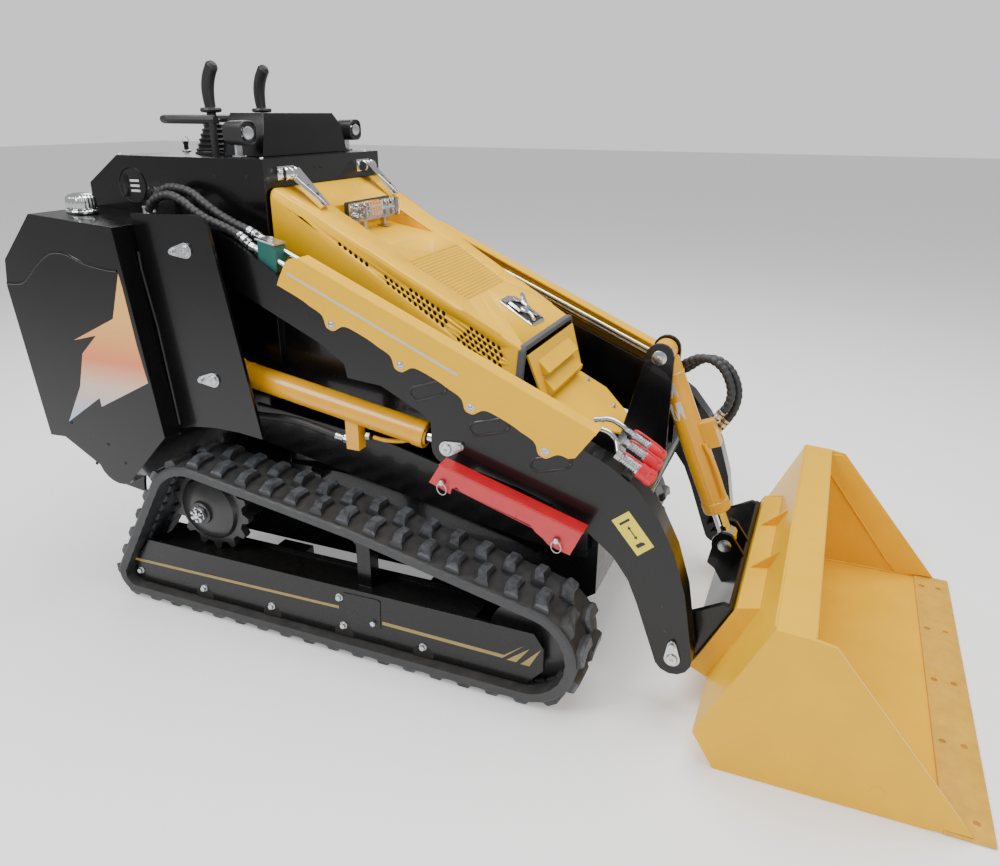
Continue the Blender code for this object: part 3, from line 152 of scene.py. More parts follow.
def finish(name, colour, roughness, metallic=0.0, coat=0.0, shade=0.8, patch=(9.0, 2.0),
           peel=(300.0, 0.08),
           dust=(0.25, 0.6), extra=None):
    made = bpy.data.materials.new(name)
    made.use_nodes = True
    tree = made.node_tree
    shader = tree.nodes["Principled BSDF"]
    link = tree.links.new
    mottle, settled, fine = (tree.nodes.new("ShaderNodeGroup") for _ in range(3))
    mottle.node_tree, settled.node_tree, fine.node_tree = mottleGroup, dustGroup, peelGroup
    mottle.inputs["Scale"].default_value, mottle.inputs["Contrast"].default_value = patch
    settled.inputs["Amount"].default_value, settled.inputs["Reach"].default_value = dust
    fine.inputs["Scale"].default_value, fine.inputs["Strength"].default_value = peel
    tone = tree.nodes.new("ShaderNodeMix")
    tone.data_type = "RGBA"
    tone.inputs["A"].default_value = (*[part * shade for part in colour], 1)
    tone.inputs["B"].default_value = (*colour, 1)
    dusty = tree.nodes.new("ShaderNodeMix")
    dusty.data_type = "RGBA"
    dusty.inputs["B"].default_value = (0.20, 0.175, 0.14, 1)
    rough = tree.nodes.new("ShaderNodeMapRange")
    rough.inputs["To Min"].default_value = roughness * 0.85
    rough.inputs["To Max"].default_value = min(1.0, roughness * 1.2)
    worn = tree.nodes.new("ShaderNodeMath")
    worn.operation = "MULTIPLY_ADD"
    worn.use_clamp = True
    worn.inputs[1].default_value = 0.5
    link(mottle.outputs[0], tone.inputs["Factor"])
    link(tone.outputs["Result"], dusty.inputs["A"])
    link(settled.outputs[0], dusty.inputs["Factor"])
    link(dusty.outputs["Result"], shader.inputs["Base Color"])
    link(mottle.outputs[0], rough.inputs["Value"])
    link(settled.outputs[0], worn.inputs[0])
    link(rough.outputs[0], worn.inputs[2])
    link(worn.outputs[0], shader.inputs["Roughness"])
    link(fine.outputs[0], shader.inputs["Normal"])
    shader.inputs["Metallic"].default_value = metallic
    shader.inputs["Coat Weight"].default_value = coat
    shader.inputs["Coat Roughness"].default_value = 0.06
    for label, value in (extra or {}).items():
        shader.inputs[label].default_value = value
    return made


# A printed decal whose colour runs along Z, from low to high.
def gradientFinish(name, stops, low, high, roughness):
    made = finish(name, stops[0][1], roughness, coat=0.4)
    tree = made.node_tree
    where = tree.nodes.new("ShaderNodeTexCoord")
    split = tree.nodes.new("ShaderNodeSeparateXYZ")
    run = tree.nodes.new("ShaderNodeMapRange")
    run.inputs["From Min"].default_value = low
    run.inputs["From Max"].default_value = high
    ramp = tree.nodes.new("ShaderNodeValToRGB")
    while len(ramp.color_ramp.elements) < len(stops):
        ramp.color_ramp.elements.new(0.5)
    for element, (place, colour) in zip(ramp.color_ramp.elements, stops):
        element.position = place
        element.color = (*colour, 1)
    link = tree.links.new
    link(where.outputs["Object"], split.inputs[0])
    link(split.outputs["Z"], run.inputs["Value"])
    link(run.outputs[0], ramp.inputs[0])
    link(ramp.outputs[0], tree.nodes["Principled BSDF"].inputs["Base Color"])
    return made


yellow = finish("yellowPaint", (0.92, 0.50, 0.0), 0.38, coat=0.12, shade=0.88, dust=(0.02, 0.5),
                extra={"Specular IOR Level": 0.22})
amberYellow = finish("cylinderPaint", (0.88, 0.41, 0.0), 0.30, coat=0.35, shade=0.86, dust=(0.04, 0.9))
black = finish("blackPaint", (0.0045, 0.0045, 0.005), 0.24, coat=0.22, shade=0.55, patch=(6.0, 2.2),
               peel=(260.0, 0.08), dust=(0.03, 0.9), extra={"Specular IOR Level": 0.3})
frameBlack = finish("frameBlack", (0.005, 0.005, 0.0055), 0.26, coat=0.22, shade=0.6, dust=(0.08, 0.4),
                    extra={"Specular IOR Level": 0.3})
rubber = finish("trackRubber", (0.018, 0.021, 0.026), 0.50, shade=0.55, patch=(34.0, 3.2),
                peel=(420.0, 0.7), dust=(0.30, 0.9), extra={"Specular IOR Level": 0.65})
# Lighter blue-grey for the lug tops: worn rubber, and a painted highlight.
lugTopWearAndHighlight = finish("trackLugTopWearAndHighlight", (0.085, 0.097, 0.118), 0.42, shade=0.35, patch=(52.0, 4.5),
                   peel=(380.0, 0.9), dust=(0.30, 0.9))
hoseRubber = finish("hoseRubber", (0.020, 0.021, 0.024), 0.48, shade=0.6, patch=(60.0, 2.5),
                    peel=(700.0, 0.5), dust=(0.25, 1.4))
zinc = finish("zincPlate", (0.66, 0.68, 0.70), 0.30, metallic=1.0, shade=0.72, patch=(70.0, 3.5),
              peel=(500.0, 0.15), dust=(0.12, 1.0))
chrome = finish("chromePlate", (0.86, 0.87, 0.88), 0.06, metallic=1.0, shade=0.95, peel=(90.0, 0.04),
                dust=(0.04, 1.4))
steel = finish("brightPipe", (0.72, 0.74, 0.76), 0.20, metallic=1.0, shade=0.85, dust=(0.08, 1.2))
red = finish("redPaint", (0.62, 0.012, 0.022), 0.30, coat=0.3, shade=0.80, patch=(20.0, 2.5),
             dust=(0.06, 0.5))
redCap = finish("redCap", (0.66, 0.012, 0.030), 0.38, shade=0.85, peel=(200.0, 0.15))
plastic = finish("blackPlastic", (0.014, 0.014, 0.015), 0.42, shade=0.7, peel=(900.0, 0.45),
                 dust=(0.12, 1.6))
trimRubber = finish("trimRubber", (0.075, 0.078, 0.082), 0.55, shade=0.75, peel=(600.0, 0.4),
                    dust=(0.15, 1.0))
cast = finish("castIron", (0.013, 0.014, 0.016), 0.34, coat=0.2, shade=0.6, patch=(26.0, 2.4),
              peel=(240.0, 0.45), dust=(0.28, 0.7))
# Near-black: painted shade in holes, slots and openings, and also the colour of small black parts.
shadeAndBlack = finish("paintedShadeAndBlackParts", (0.004, 0.004, 0.004), 0.7)
brown = finish("filterBrown", (0.070, 0.022, 0.010), 0.7, shade=0.5, patch=(60.0, 3.0))
greyStripe = finish("greyStripe", (0.56, 0.55, 0.52), 0.35, coat=0.3, shade=0.92)
gold = finish("goldStripe", (0.36, 0.26, 0.055), 0.38, coat=0.2, shade=0.80, patch=(30.0, 2.0))
whiteLabel = finish("whiteLabel", (0.80, 0.80, 0.80), 0.40, coat=0.2, shade=0.93)
yellowLabel = finish("yellowLabel", (0.88, 0.74, 0.02), 0.35, coat=0.3, shade=0.92)
teal = finish("tealClamp", (0.006, 0.115, 0.095), 0.40, shade=0.75, peel=(400.0, 0.3))
amber = finish("amberDiode", (0.95, 0.42, 0.10), 0.25, extra={"Emission Color": (1.0, 0.45, 0.12, 1),
                                                             "Emission Strength": 0.35})
reflector = finish("reflector", (0.80, 0.82, 0.85), 0.12, metallic=1.0, shade=0.8, patch=(40.0, 3.0))
clear = finish("clearLens", (0.96, 0.97, 0.98), 0.03, shade=1.0, dust=(0.0, 1.0), peel=(60.0, 0.02),
               extra={"Transmission Weight": 1.0, "IOR": 1.46})
edgeSteel = finish("wornEdge", (0.86, 0.45, 0.002), 0.38, coat=0.3, shade=0.80, patch=(24.0, 3.0),
                   dust=(0.30, 0.4))
weld = finish("weldBead", (0.010, 0.010, 0.011), 0.38, coat=0.3, shade=0.6, peel=(160.0, 0.9))
flash = gradientFinish("flashDecal", ((0.0, (0.36, 0.48, 0.72)), (0.28, (0.70, 0.50, 0.36)),
                                      (0.45, (0.80, 0.22, 0.07)), (0.72, (0.82, 0.44, 0.10)),
                                      (1.0, (0.80, 0.42, 0.10))), 0.54, 0.97, 0.32)
print("materials made")


# Gathers geometry in one mesh, with a material for each part of it.
class Piece:
    def __init__(self, name, body, *finishes):
        self.name, self.body, self.finishes = name, body, finishes
        self.mesh = bmesh.new()

    def take(self, faces, slot, smooth=True):
        for face in faces:
            face.material_index = slot
            face.smooth = smooth

    def loft(self, rings, slot=0, caps=True, closed=False, smooth=True):
        layers = [[self.mesh.verts.new(spot) for spot in ring] for ring in rings]
        faces = []
        pairs = list(zip(layers, layers[1:]))
        if closed:
            pairs.append((layers[-1], layers[0]))
        for ring, after in pairs:
            for number in range(len(ring)):
                following = (number + 1) % len(ring)
                faces.append(self.mesh.faces.new((ring[number], ring[following], after[following],
                                                  after[number])))
        if caps and not closed:
            faces += [self.mesh.faces.new(layers[0][::-1]), self.mesh.faces.new(layers[-1])]
        self.take(faces, slot, smooth)
        return faces

    # An outline in (x, z), carried along Y.
    def prism(self, outline, low, high, slot=0):
        return self.loft([[(x, y, z) for x, z in outline] for y in (low, high)], slot)

    # Rings of (along, radius) round an axis from the point at.
    def lathe(self, at, axis, profile, slot=0, sides=28, smooth=True):
        axis = Vector(axis).normalized()
        across = axis.orthogonal().normalized()
        third = axis.cross(across)
        rings = [[Vector(at) + axis * along
                  + (across * cos(turn) + third * sin(turn)) * max(radius, 1e-5)
                  for turn in (2 * pi * step / sides for step in range(sides))]
                 for along, radius in profile]
        return self.loft(rings, slot, smooth=smooth)

    def bolt(self, at, axis, size=0.008, slot=0, washer=True):
        start = 0.0
        if washer:
            self.lathe(at, axis, ((-0.001, size * 1.15), (0.0012, size * 1.15), (0.0018, size * 1.08)),
                       slot, 20)
            start = 0.0015
        self.lathe(at, axis, ((start, size * 0.86), (start + size * 0.75, size * 0.86),
                              (start + size * 0.86, size * 0.74)), slot, 6, smooth=False)

    def dome(self, at, axis, radius, height, slot=0, sides=20):
        self.lathe(at, axis,
                   [(-0.001, radius)] + [(height * sin(step * pi / 10), radius * cos(step * pi / 10))
                                                   for step in range(6)], slot, sides)

    # A round tube, whose radius may be a number or one for each point.
    def tube(self, points, radius, slot=0, sides=12, caps=True):
        points = [Vector(point) for point in points]
        rings, across = [], None
        for number, point in enumerate(points):
            ahead = points[min(number + 1, len(points) - 1)] - points[max(number - 1, 0)]
            ahead.normalize()
            if across is None:
                across = ahead.orthogonal().normalized()
            across = (across - ahead * across.dot(ahead)).normalized()
            third = ahead.cross(across)
            size = radius if isinstance(radius, float) else radius[number]
            rings.append([point + (across * cos(turn) + third * sin(turn)) * size
                          for turn in (2 * pi * step / sides for step in range(sides))])
        return self.loft(rings, slot, caps)

    def box(self, low, high, slot=0, bevel=0.0, turn=None):
        faces = bmesh.ops.create_cube(self.mesh, size=1.0)["verts"]
        size, middle = Vector(high) - Vector(low), (Vector(high) + Vector(low)) / 2
        bmesh.ops.scale(self.mesh, verts=faces, vec=size)
        made = set(face for vert in faces for face in vert.link_faces)
        self.take(made, slot, False)
        if bevel:
            edges = list({edge for face in made for edge in face.edges})
            made = bmesh.ops.bevel(self.mesh, geom=edges, offset=bevel, segments=2, profile=0.5,
                                   affect="EDGES", material=-1)["faces"]
            faces = list({vert for face in made for vert in face.verts})
        place = Matrix.Translation(middle) @ (turn.to_4x4() if turn else Matrix.Identity(4))
        bmesh.ops.transform(self.mesh, verts=faces, matrix=place)

    # A sheet with holes: outline and holes in (u, v), put in space by place(u, v, depth).
    def plate(self, outline, holes, place, thickness, slot=0, smooth=False):
        verts, faces = fill(outline, holes)
        sheets = []
        for depth in (0.0, thickness):
            corners = [self.mesh.verts.new(place(spot[0], spot[1], depth)) for spot in verts]
            sheets.append((corners, [self.mesh.faces.new([corners[index] for index in face])
                                     for face in faces]))
        outer, inner = sheets
        rim = [edge for face in outer[1] for edge in face.edges if len(edge.link_faces) == 1]
        index = {vert: number for number, vert in enumerate(outer[0])}
        walls = []
        for edge in rim:
            a, b = (index[vert] for vert in edge.verts)
            walls.append(self.mesh.faces.new((outer[0][a], outer[0][b], inner[0][b], inner[0][a])))
        self.take(outer[1] + inner[1], slot, smooth)
        self.take(walls, slot, False)
        for vert in outer[0] + inner[0]:
            if not vert.link_faces:
                self.mesh.verts.remove(vert)

    def done(self, bevel=0.0, sharp=35, replaces=(), blend=None):
        bmesh.ops.recalc_face_normals(self.mesh, faces=self.mesh.faces)
        data = bpy.data.meshes.new(self.name)
        self.mesh.to_mesh(data)
        self.mesh.free()
        for made in self.finishes:
            data.materials.append(made)
        data.set_sharp_from_angle(angle=radians(sharp))
        item = bpy.data.objects.new(self.name, data)
        bpy.context.scene.collection.objects.link(item)
        if bevel:
            soften(item, bevel)
        if blend:
            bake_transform(item)
        else:
            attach(item, self.body)
        if replaces:
            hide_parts(*replaces)
        return item


def soften(item, width, angle=32):
    step = item.modifiers.new("edges", "BEVEL")
    step.width = width
    step.segments = 2
    step.limit_method = "ANGLE"
    step.angle_limit = radians(angle)
    even = item.modifiers.new("even", "WEIGHTED_NORMAL")
    even.keep_sharp = True


def circle(x, z, radius, sides=14, turn=0.0):
    return [(x + radius * cos(turn + 2 * pi * step / sides),
             z + radius * sin(turn + 2 * pi * step / sides))
            for step in range(sides)]


def smoothPath(points, steps=6):
    spots = [Vector(point) for point in points]
    spots = [2 * spots[0] - spots[1]] + spots + [2 * spots[-1] - spots[-2]]
    path = []
    for a, b, c, d in zip(spots, spots[1:], spots[2:], spots[3:]):
        for step in range(steps):
            t = step / steps
            path.append(0.5 * (2 * b + (c - a) * t + (2 * a - 5 * b + 4 * c - d) * t**2
                               + (3 * b - a - 3 * c + d) * t**3))
    path.append(spots[-2])
    return path


def inside(x, y, outline):
    found = False
    for (ax, ay), (bx, by) in zip(outline, outline[1:] + outline[:1]):
        if (ay > y) != (by > y) and x < (bx - ax) * (y - ay) / (by - ay) + ax:
            found = not found
    return found


# Triangles that cover an outline without its holes.
def fill(outline, holes, extra=()):
    spots, edges = [], []
    for ring in [outline, *holes]:
        first = len(spots)
        spots += [Vector(spot) for spot in ring]
        edges += [(first + number, first + (number + 1) % len(ring)) for number in range(len(ring))]
    verts, _, faces, *_ = delaunay_2d_cdt(spots + [Vector(spot) for spot in extra], edges, [], 0, 1e-7)
    boxes = [(min(x for x, _ in ring), max(x for x, _ in ring), min(y for _, y in ring),
              max(y for _, y in ring), ring)
              for ring in ([tuple(spot) for spot in ring] for ring in holes)]
    outer, kept = [tuple(spot) for spot in outline], []
    for face in faces:
        x, y = (sum(verts[index][axis] for index in face) / 3 for axis in (0, 1))
        if inside(x, y, outer) and not any(x0 < x < x1 and y0 < y < y1 and inside(x, y, ring)
                                           for x0, x1, y0, y1, ring in boxes):
            kept.append(face)
    return verts, kept


def along(a, b, share):
    return tuple(p + (q - p) * share for p, q in zip(a, b))


# Gives CAD nodes a finish, and softens their edges.
def repaint(names, made, width=0.0012):
    for name in names:
        item = nodes[name]
        item.data.materials.clear()
        item.data.materials.append(made)
        item.data.shade_smooth()
        item.data.set_sharp_from_angle(angle=radians(32))
        if width:
            join = item.modifiers.new("join", "WELD")
            join.merge_threshold = 0.00002
            flatten = item.modifiers.new("flatten", "DECIMATE")
            flatten.decimate_type = "DISSOLVE"
            flatten.angle_limit = radians(0.4)
            soften(item, width)


def both(*names):
    return [f"{side}_{name}" for side, _ in sides for name in names]


repaint(["control_tower", "dash_box", "attach_plate", "arm_crossmember", "operator_platform"]
        + both("tank", "pin_plate", "arm"), black)
repaint(["chassis_frame"] + both("track_frame"), frameBlack)
repaint(["front_deck", "bucket"], yellow)
repaint(both("sprocket", "idler") + ["engine_block"], cast, 0.0008)
repaint(["handle_bar"], plastic, 0)
repaint(both("filler_cap"), chrome, 0)
repaint(both("lift_barrel") + ["tilt_barrel"], amberYellow, 0.0008)
repaint(both("lift_rod") + ["tilt_rod"], chrome, 0)
for name in both("lift_rod") + ["tilt_rod"]:
    nodes[name].data.materials.append(amberYellow)
print("frame painted")


trackSizes = {"thickness": 0.030, "count": 84, "guide": 0.024}


def hull(circles, steps=96):
    points = sorted((cx + r * cos(2 * pi * k / steps), cz + r * sin(2 * pi * k / steps))
                    for (cx, cz), r in circles for k in range(steps))

    def half(ordered):
        chain = []
        for p in ordered:
            while len(chain) > 1 and ((chain[-1][0] - chain[-2][0]) * (p[1] - chain[-2][1])
                                      - (chain[-1][1] - chain[-2][1]) * (p[0] - chain[-2][0])) <= 1e-10:
                chain.pop()
            chain.append(p)
        return chain[:-1]

    return half(points) + half(points[::-1])


# Points and inward directions at equal steps along a closed outline.
def evenly(outline, count):
    lengths = [hypot(b[0] - a[0], b[1] - a[1]) for a, b in zip(outline, outline[1:] + outline[:1])]
    total, found = sum(lengths), []
    at, index = 0.0, 0
    for step in range(count):
        target = total * step / count
        while at + lengths[index] < target:
            at += lengths[index]
            index += 1
        a, b = outline[index], outline[(index + 1) % len(outline)]
        share = (target - at) / lengths[index]
        d = Vector((b[0] - a[0], b[1] - a[1])).normalized()
        found.append((Vector((a[0] + (b[0] - a[0]) * share, a[1] + (b[1] - a[1]) * share)), d))
    return found


def trackBelt(side, sign):
    low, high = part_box(f"{side}_track")
    inner, outer = sorted((abs(low.y), abs(high.y)))
    depth, lug = trackSizes["thickness"] - 0.004, 0.016
    circles = [((-0.725, 0.314), 0.168), ((-0.977, 0.075), 0.075), ((0.238, 0.150), 0.150),
               ((-0.229, 0.338), 0.067)]
    outline = hull([(at, r - lug) for at, r in circles])
    spots = evenly(outline, 4 * trackSizes["count"])
    piece = Piece(f"{side}Belt", "machine", rubber, lugTopWearAndHighlight)
    section = ((inner + 0.004, 0.0), (inner, 0.006), (inner + 0.002, depth), (outer - 0.002, depth),
               (outer, 0.006), (outer - 0.004, 0.0))
    rings = []
    for number, (p, d) in enumerate(spots):
        into = Vector((-d.y, d.x))
        wave = 0.0022 * (1 + cos(2 * pi * number / 4)) / 2
        rings.append([(p.x + into.x * (deep + (wave if 0 < index < 5 else 0)), sign * y,
                       p.y + into.y * (deep + (wave if deep < 0.001 else 0)))
                      for index, (y, deep) in enumerate(section)])
    piece.loft(rings, closed=True)
    middle = (inner + outer) / 2
    for number, (p, d) in enumerate(spots):
        row = number % 8
        into = Vector((-d.y, d.x))

        def at(s, y, up):
            return (p.x + d.x * s - into.x * up, sign * y, p.y + d.y * s - into.y * up)

        if row in (0, 4):
            near, far = (outer - 0.010, middle + 0.004) if row == 0 else (middle - 0.004, inner + 0.010)
            half = (near + far) / 2
            foot = [(-0.026, near), (0.014, near), (0.026, half), (0.022, far), (-0.014, far),
                    (-0.012, half)]
            crown = [(-0.019, near), (0.006, near), (0.019, half), (0.015, far), (-0.006, far),
                     (-0.003, half)]
            rings = [[at(s, y, -0.004) for s, y in foot],
                     [at(s * 0.9, y * 0.98 + middle * 0.02, 0.009) for s, y in foot],
                     [at(s, y * 0.94 + (near + far) / 2 * 0.06, lug) for s, y in crown]]
            faces = piece.loft(rings, 0, smooth=False)
            # Lug crowns and upper sides get the lighter blue-grey: part wear, part painted highlight.
            faces[-1].material_index = 1
            for face in faces[6:12]:
                face.material_index = 1 if number % 3 else 0
        if number % 4 == 0:
            guide = trackSizes["guide"]
            for y in (middle - 0.030, middle + 0.030):
                rings = [[at(s * k, y + t * k, -depth - h) for s, t in
                          ((-0.014, -0.010), (0.014, -0.010), (0.014, 0.010), (-0.014, 0.010))]
                         for h, k in ((-0.004, 1.0), (guide * 0.25, 0.9), (guide * 0.34, 0.55))]
                piece.loft(rings, 0)
    piece.done(replaces=[f"{side}_track"], sharp=30)


# Bolts, stripes and the inspection plate on the track frame.
def trackTrim(side, sign):
    low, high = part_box(f"{side}_track_frame")
    face = max(abs(low.y), abs(high.y))
    piece = Piece(f"{side}TrackTrim", "machine", zinc, gold, frameBlack, shadeAndBlack)
    for x, z in ((-0.977, 0.080), (-0.743, 0.075), (-0.509, 0.076), (-0.284, 0.162), (-0.277, 0.077),
                 (-0.183, 0.110), (-0.041, 0.075)):
        piece.bolt((x, sign * face, z), (0, sign, 0), 0.0095)
    for outline in ([(-1.000, 0.110), (-0.288, 0.126), (-0.288, 0.134), (-1.000, 0.119)],
                    [(-0.158, 0.110), (0.178, 0.106), (0.234, 0.157), (0.182, 0.116), (-0.158, 0.120)],
                    [(0.188, 0.104), (0.214, 0.104), (0.248, 0.152)],
                    [(0.225, 0.102), (0.248, 0.102), (0.277, 0.158)]):
        piece.prism(outline, sign * (face - 0.0005), sign * (face + 0.0007), 1)
    cover = [(-0.270, 0.180), (-0.166, 0.183), (-0.160, 0.178), (-0.163, 0.098), (-0.262, 0.090)]
    piece.prism(cover, sign * (face - 0.001), sign * (face + 0.0022), 2)
    for x in (-0.743, -0.509, -0.277, -0.041):
        piece.lathe((x, sign * (face - 0.002), 0.050), (0, sign, 0),
                    ((0, 0.030), (0.0026, 0.030), (0.0028, 0.026)), 3, 24)
    for number in range(18):
        x = -0.90 + number * 0.055
        piece.dome((x, sign * (face - 0.018), 0.1865), (0, 0, 1), 0.003, 0.002, 2, 10)
    piece.lathe((-0.732, sign * (face - 0.045), 0.320), (0, sign, 0),
                ((0, 0.036), (0.006, 0.036), (0.009, 0.030)), 3, 24)
    piece.done(bevel=0.0005)
    hub = Piece(f"{side}HubNut", "machine", zinc, cast)
    tip = max(abs(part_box(f"{side}_sprocket")[0].y), abs(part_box(f"{side}_sprocket")[1].y))
    centre = (-0.725, sign * (tip - 0.012), 0.314)
    hub.lathe(centre, (0, sign, 0), ((0, 0.0235), (0.009, 0.0235), (0.010, 0.022)), 0, 6, smooth=False)
    for number in range(6):
        turn = number * pi / 3 + pi / 6
        x, z = centre[0] + 0.015 * cos(turn), centre[2] + 0.015 * sin(turn)
        hub.lathe((x, sign * (tip - 0.003), z), (0, sign, 0),
                  ((0, 0.006), (0.007, 0.0055), (0.008, 0.004)), 0, 8)
    hub.lathe(centre, (0, sign, 0), ((0, 0.009), (0.016, 0.009), (0.018, 0.007)), 0, 16)
    for number in range(9):
        turn = number * 2 * pi / 9
        hub.bolt((-0.725 + 0.072 * cos(turn), sign * (tip - 0.044), 0.314 + 0.072 * sin(turn)),
                 (0, sign, 0), 0.006, 1, False)
    hub.done()


for side, sign in sides:
    trackBelt(side, sign)
    trackTrim(side, sign)
print("tracks made")


wrapSizes = {"radius": 0.0105, "rise": 0.0022, "pitch": 0.0155}


# A hose in its spiral wrap, with a crimped fitting and a nut at each end that shows.
def hose(name, body, route, ends, blend=None, replaces=(), side=1, wrapped=True, radius=None):
    points = smoothPath([(x, side * y, z) for x, y, z in route], 14)
    size = radius or wrapSizes["radius"]
    piece = Piece(name, body, hoseRubber, zinc)
    run, radii, gone = 0.0, [], []
    for a, b in zip(points, points[1:] + points[-1:]):
        gone.append(run)
        run += (b - a).length
    for place in gone:
        wave = (cos(2 * pi * place / wrapSizes["pitch"]) + 1) / 2
        radii.append(size - 0.0012 + (wrapSizes["rise"] * wave**0.4 if wrapped else 0.001))
    piece.tube(points, radii, 0, 14)
    for end in ends:
        order = points if end == "start" else points[::-1]
        at = order[0]
        to = (order[6] - at).normalized()
        piece.lathe(at, to, ((-0.0005, size * 1.10), (0.012, size * 1.10), (0.013, size * 1.02)), 1, 6,
                    False)
        piece.lathe(at, to, ((0.012, size * 0.8), (0.014, size * 1.12), (0.017, size * 1.12),
                             (0.019, size * 1.06),
                             (0.030, size * 1.06), (0.034, size * 1.14), (0.036, size * 1.10)), 1, 18)
    return piece.done(replaces=replaces, blend=blend)


upperRoute = ((-0.876, 0.325, 1.0832), (-0.873, 0.325, 1.105), (-0.859, 0.325, 1.133),
              (-0.830, 0.325, 1.154),
              (-0.797, 0.325, 1.161), (-0.743, 0.326, 1.152), (-0.699, 0.327, 1.126),
              (-0.655, 0.328, 1.101),
              (-0.612, 0.330, 1.083), (-0.570, 0.330, 1.068), (-0.5368, 0.330, 1.0535))
lowerRoute = ((-0.853, 0.366, 1.0817), (-0.850, 0.366, 1.104), (-0.826, 0.366, 1.132),
              (-0.778, 0.366, 1.147),
              (-0.735, 0.366, 1.134), (-0.700, 0.366, 1.112), (-0.665, 0.365, 1.094),
              (-0.622, 0.362, 1.079),
              (-0.580, 0.359, 1.061), (-0.5468, 0.358, 1.0392))
cylinderRoute = ((-0.690, 0.280, 0.604), (-0.690, 0.296, 0.604), (-0.672, 0.324, 0.599),
                 (-0.632, 0.344, 0.588),
                 (-0.588, 0.350, 0.583), (-0.509, 0.350, 0.586), (-0.452, 0.350, 0.584),
                 (-0.406, 0.350, 0.576),
                 (-0.355, 0.350, 0.566), (-0.3045, 0.350, 0.557))
tiltRoutes = (((0.427, 0.066, 0.722), (0.445, 0.066, 0.726), (0.470, 0.066, 0.742),
               (0.499, 0.064, 0.757),
               (0.535, 0.058, 0.757), (0.568, 0.050, 0.735), (0.590, 0.042, 0.690),
               (0.586, 0.036, 0.648),
               (0.5554, 0.034, 0.6032)),
              ((0.427, 0.090, 0.700), (0.445, 0.090, 0.704), (0.472, 0.090, 0.722),
               (0.507, 0.088, 0.748),
               (0.546, 0.082, 0.752), (0.584, 0.074, 0.728), (0.606, 0.066, 0.680),
               (0.600, 0.058, 0.628),
               (0.568, 0.056, 0.5738)))

for side, sign in sides:
    armBend = ("machine", "lift_arms", (-0.80, sign * 0.345, 1.15), (-0.58, sign * 0.345, 1.07))
    portBend = ("machine", f"{side}_lift_barrel", (-0.66, sign * 0.32, 0.60),
                (-0.46, sign * 0.35, 0.58))
    hose(f"{side}UpperHose", None, upperRoute, ("start", "end"), armBend, (), sign)
    hose(f"{side}LowerHose", None, lowerRoute, ("start", "end"), armBend, [f"{side}_arm_hoses"], sign)
    hose(f"{side}PortHose", None, cylinderRoute, ("start", "end"), portBend, [f"{side}_cylinder_hose"],
         sign, False)
tiltBend = ("lift_arms", "tilt_barrel", (0.455, 0.075, 0.735), (0.585, 0.045, 0.70))
for number, route in enumerate(tiltRoutes):
    hose(f"tiltHose{number + 1}", None, route, ("start", "end"), tiltBend, ["tilt_hoses"] if number
         else ())
print("hoses made")


hoodSizes = {"rear": -0.542, "front": 0.115, "low": ((0.268, 0.930), (0.215, 0.655)),
             "fold": ((0.268, 1.148), (0.215, 0.690)), "crease": ((0.256, 1.163), (0.185, 0.800)),
             "bend": 0.007, "sheet": 0.003, "hole": 0.0051, "pitch": 0.0142}
stations = [hoodSizes["rear"] + (hoodSizes["front"] - hoodSizes["rear"]) * step / 12
            for step in range(13)]


def hoodLine(x, name):
    share = (x - hoodSizes["rear"]) / (hoodSizes["front"] - hoodSizes["rear"])
    return along(*hoodSizes[name], share)


# Whether a hole at (x, v) lies inside a group's outline with its rim.
def perforated(corners, x, v, width):
    reach = hoodSizes["hole"] * 1.15
    return all(inside(x + reach * cos(turn), v + reach * sin(turn) / width, corners)
               for turn in (step * pi / 4 for step in range(8)))


holeGroups = ([(-0.385, 0.241), (-0.364, 0.614), (-0.271, 0.603), (-0.281, 0.078)],
              [(-0.256, 0.046), (-0.241, 0.605), (-0.063, 0.750), (-0.092, 0.020)],
              [(-0.034, 0.756), (0.072, 0.812), (0.063, 0.170), (-0.066, 0.020)])


